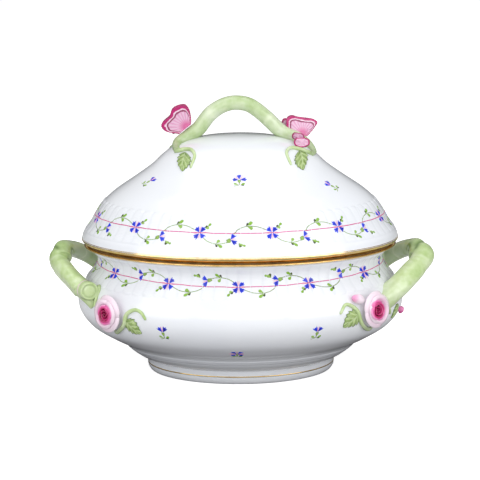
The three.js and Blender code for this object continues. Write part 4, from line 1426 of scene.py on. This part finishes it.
# ---- Stage, light and camera -------------------------------------------------------------------
CAMERA_PLACE = (0.0, -1.42, 0.38)
CAMERA_AIM = (0.0, 0.0, 0.1155)
CAMERA_LENS = 121.5
CAMERA_ROLL = 0.45  # degrees, lifting the right side of the picture
LIGHT_AIM = (0.0, 0.0, 0.12)
LIGHTS = {  # name: (place, size, power)
    "overhead": ((0.0, -0.35, 1.6), (2.2, 1.4), 12.4),
    "left_box": ((-1.6, -1.5, 0.8), (1.6, 1.6), 14.3),
    "right_box": ((1.6, -1.5, 0.8), (1.6, 1.6), 18),
    "front_box": ((0.0, -2.6, 0.8), (2.4, 1.2), 15.2),
}
FLOOR_HALF = 8.0
FLOOR_GLOW = 0.74
ROOM_SEEN = 1.02  # strength of the backdrop where the camera sees it
ROOM_LIGHT, ROOM_DIM = 0.42, 0.08  # and of the light it gives, at most and low down at the back


def area_light(name, place, size, power):
    data = bpy.data.lights.new(name, "AREA")
    data.shape = "RECTANGLE"
    data.size, data.size_y = size
    data.energy = power
    light = bpy.data.objects.new(name, data)
    light.location = place
    light.rotation_euler = (Vector(LIGHT_AIM) - Vector(place)).to_track_quat("-Z", "Y").to_euler()
    bpy.context.scene.collection.objects.link(light)


def floor():
    """Pale paper, seen white, that throws only a little light back up at the glaze."""
    mesh = bpy.data.meshes.new("floor")
    corners = [(x * FLOOR_HALF, y * FLOOR_HALF, 0) for x, y in ((-1, -1), (1, -1), (1, 1), (-1, 1))]
    mesh.from_pydata(corners, [], [(0, 1, 2, 3)])
    paper = Glaze("floor_paper")
    paper.shader.inputs["Roughness"].default_value = 0.8
    seen = paper.node("ShaderNodeLightPath").outputs["Is Camera Ray"]
    fibres = paper.ramp(paper.noise(3, 2), (0.3, (0.90, 0.90, 0.90)), (0.7, (0.94, 0.94, 0.94)))
    distance = paper.node("ShaderNodeVectorMath", operation="LENGTH")
    paper.link(paper.place, distance.inputs[0])
    shadow = paper.ramp(
        distance.outputs["Value"], (0.12, (0.145, 0.14, 0.145)), (0.24, (0.68, 0.68, 0.685))
    )
    paper.colour(paper.mix(seen, shadow, fibres))
    paper.shader.inputs["Emission Color"].default_value = (1, 1, 1, 1)
    paper.link(paper.times(seen, FLOOR_GLOW), paper.shader.inputs["Emission Strength"])
    paper.shader.inputs["Specular IOR Level"].default_value = 0.1
    mesh.materials.append(paper.material)
    ground = bpy.data.objects.new("floor", mesh)
    bpy.context.scene.collection.objects.link(ground)


def room():
    """A white room that gives less light low down at the back, where it would fill the shadows."""
    world = bpy.data.worlds.new("studio")
    bpy.context.scene.world = world
    world.use_nodes = True
    nodes = Nodes(world.node_tree)
    seen = nodes.node("ShaderNodeLightPath").outputs["Is Camera Ray"]
    way = nodes.node("ShaderNodeTexCoord").outputs["Generated"]
    behind = nodes.spread(nodes.part(way, "Y"), 0, 1, start=-0.1, end=0.6)
    low = nodes.spread(nodes.part(way, "Z"), 0, 1, start=0.4, end=0.1)
    given = nodes.spread(nodes.times(behind, low), ROOM_LIGHT, ROOM_DIM)
    strength = nodes.spread(seen, given, ROOM_SEEN)
    background = world.node_tree.nodes["Background"]
    nodes.link(strength, background.inputs["Strength"])
    background.inputs["Color"].default_value = (1, 1, 1, 1)


def set_camera():
    camera = bpy.data.objects.new("camera", bpy.data.cameras.new("camera"))
    camera.data.lens = CAMERA_LENS
    camera.data.sensor_width = 36
    camera.location = CAMERA_PLACE
    aim = (Vector(CAMERA_AIM) - Vector(CAMERA_PLACE)).to_track_quat("-Z", "Y")
    camera.rotation_euler = (aim @ Quaternion((0, 0, 1), -math.radians(CAMERA_ROLL))).to_euler()
    bpy.context.scene.collection.objects.link(camera)
    bpy.context.scene.camera = camera
    bpy.context.scene.view_settings.view_transform = "Standard"


floor()
room()
for light_name, settings in LIGHTS.items():
    area_light(light_name, *settings)
set_camera()
bowl_shell()
lid_shell()
foot_ring()
gilt_rims()
paint()
side_handles()
arch_handle()
for turned_round in (False, True):
    rose("rose_a", LEFT_ROSE, 0, 1.7, turned_round)
    rose("rose_b", RIGHT_ROSE, 60, -3.2, turned_round)
trim(BOWL_TRIM, "bowl")
trim(LID_TRIM, "lid")
butterflies()
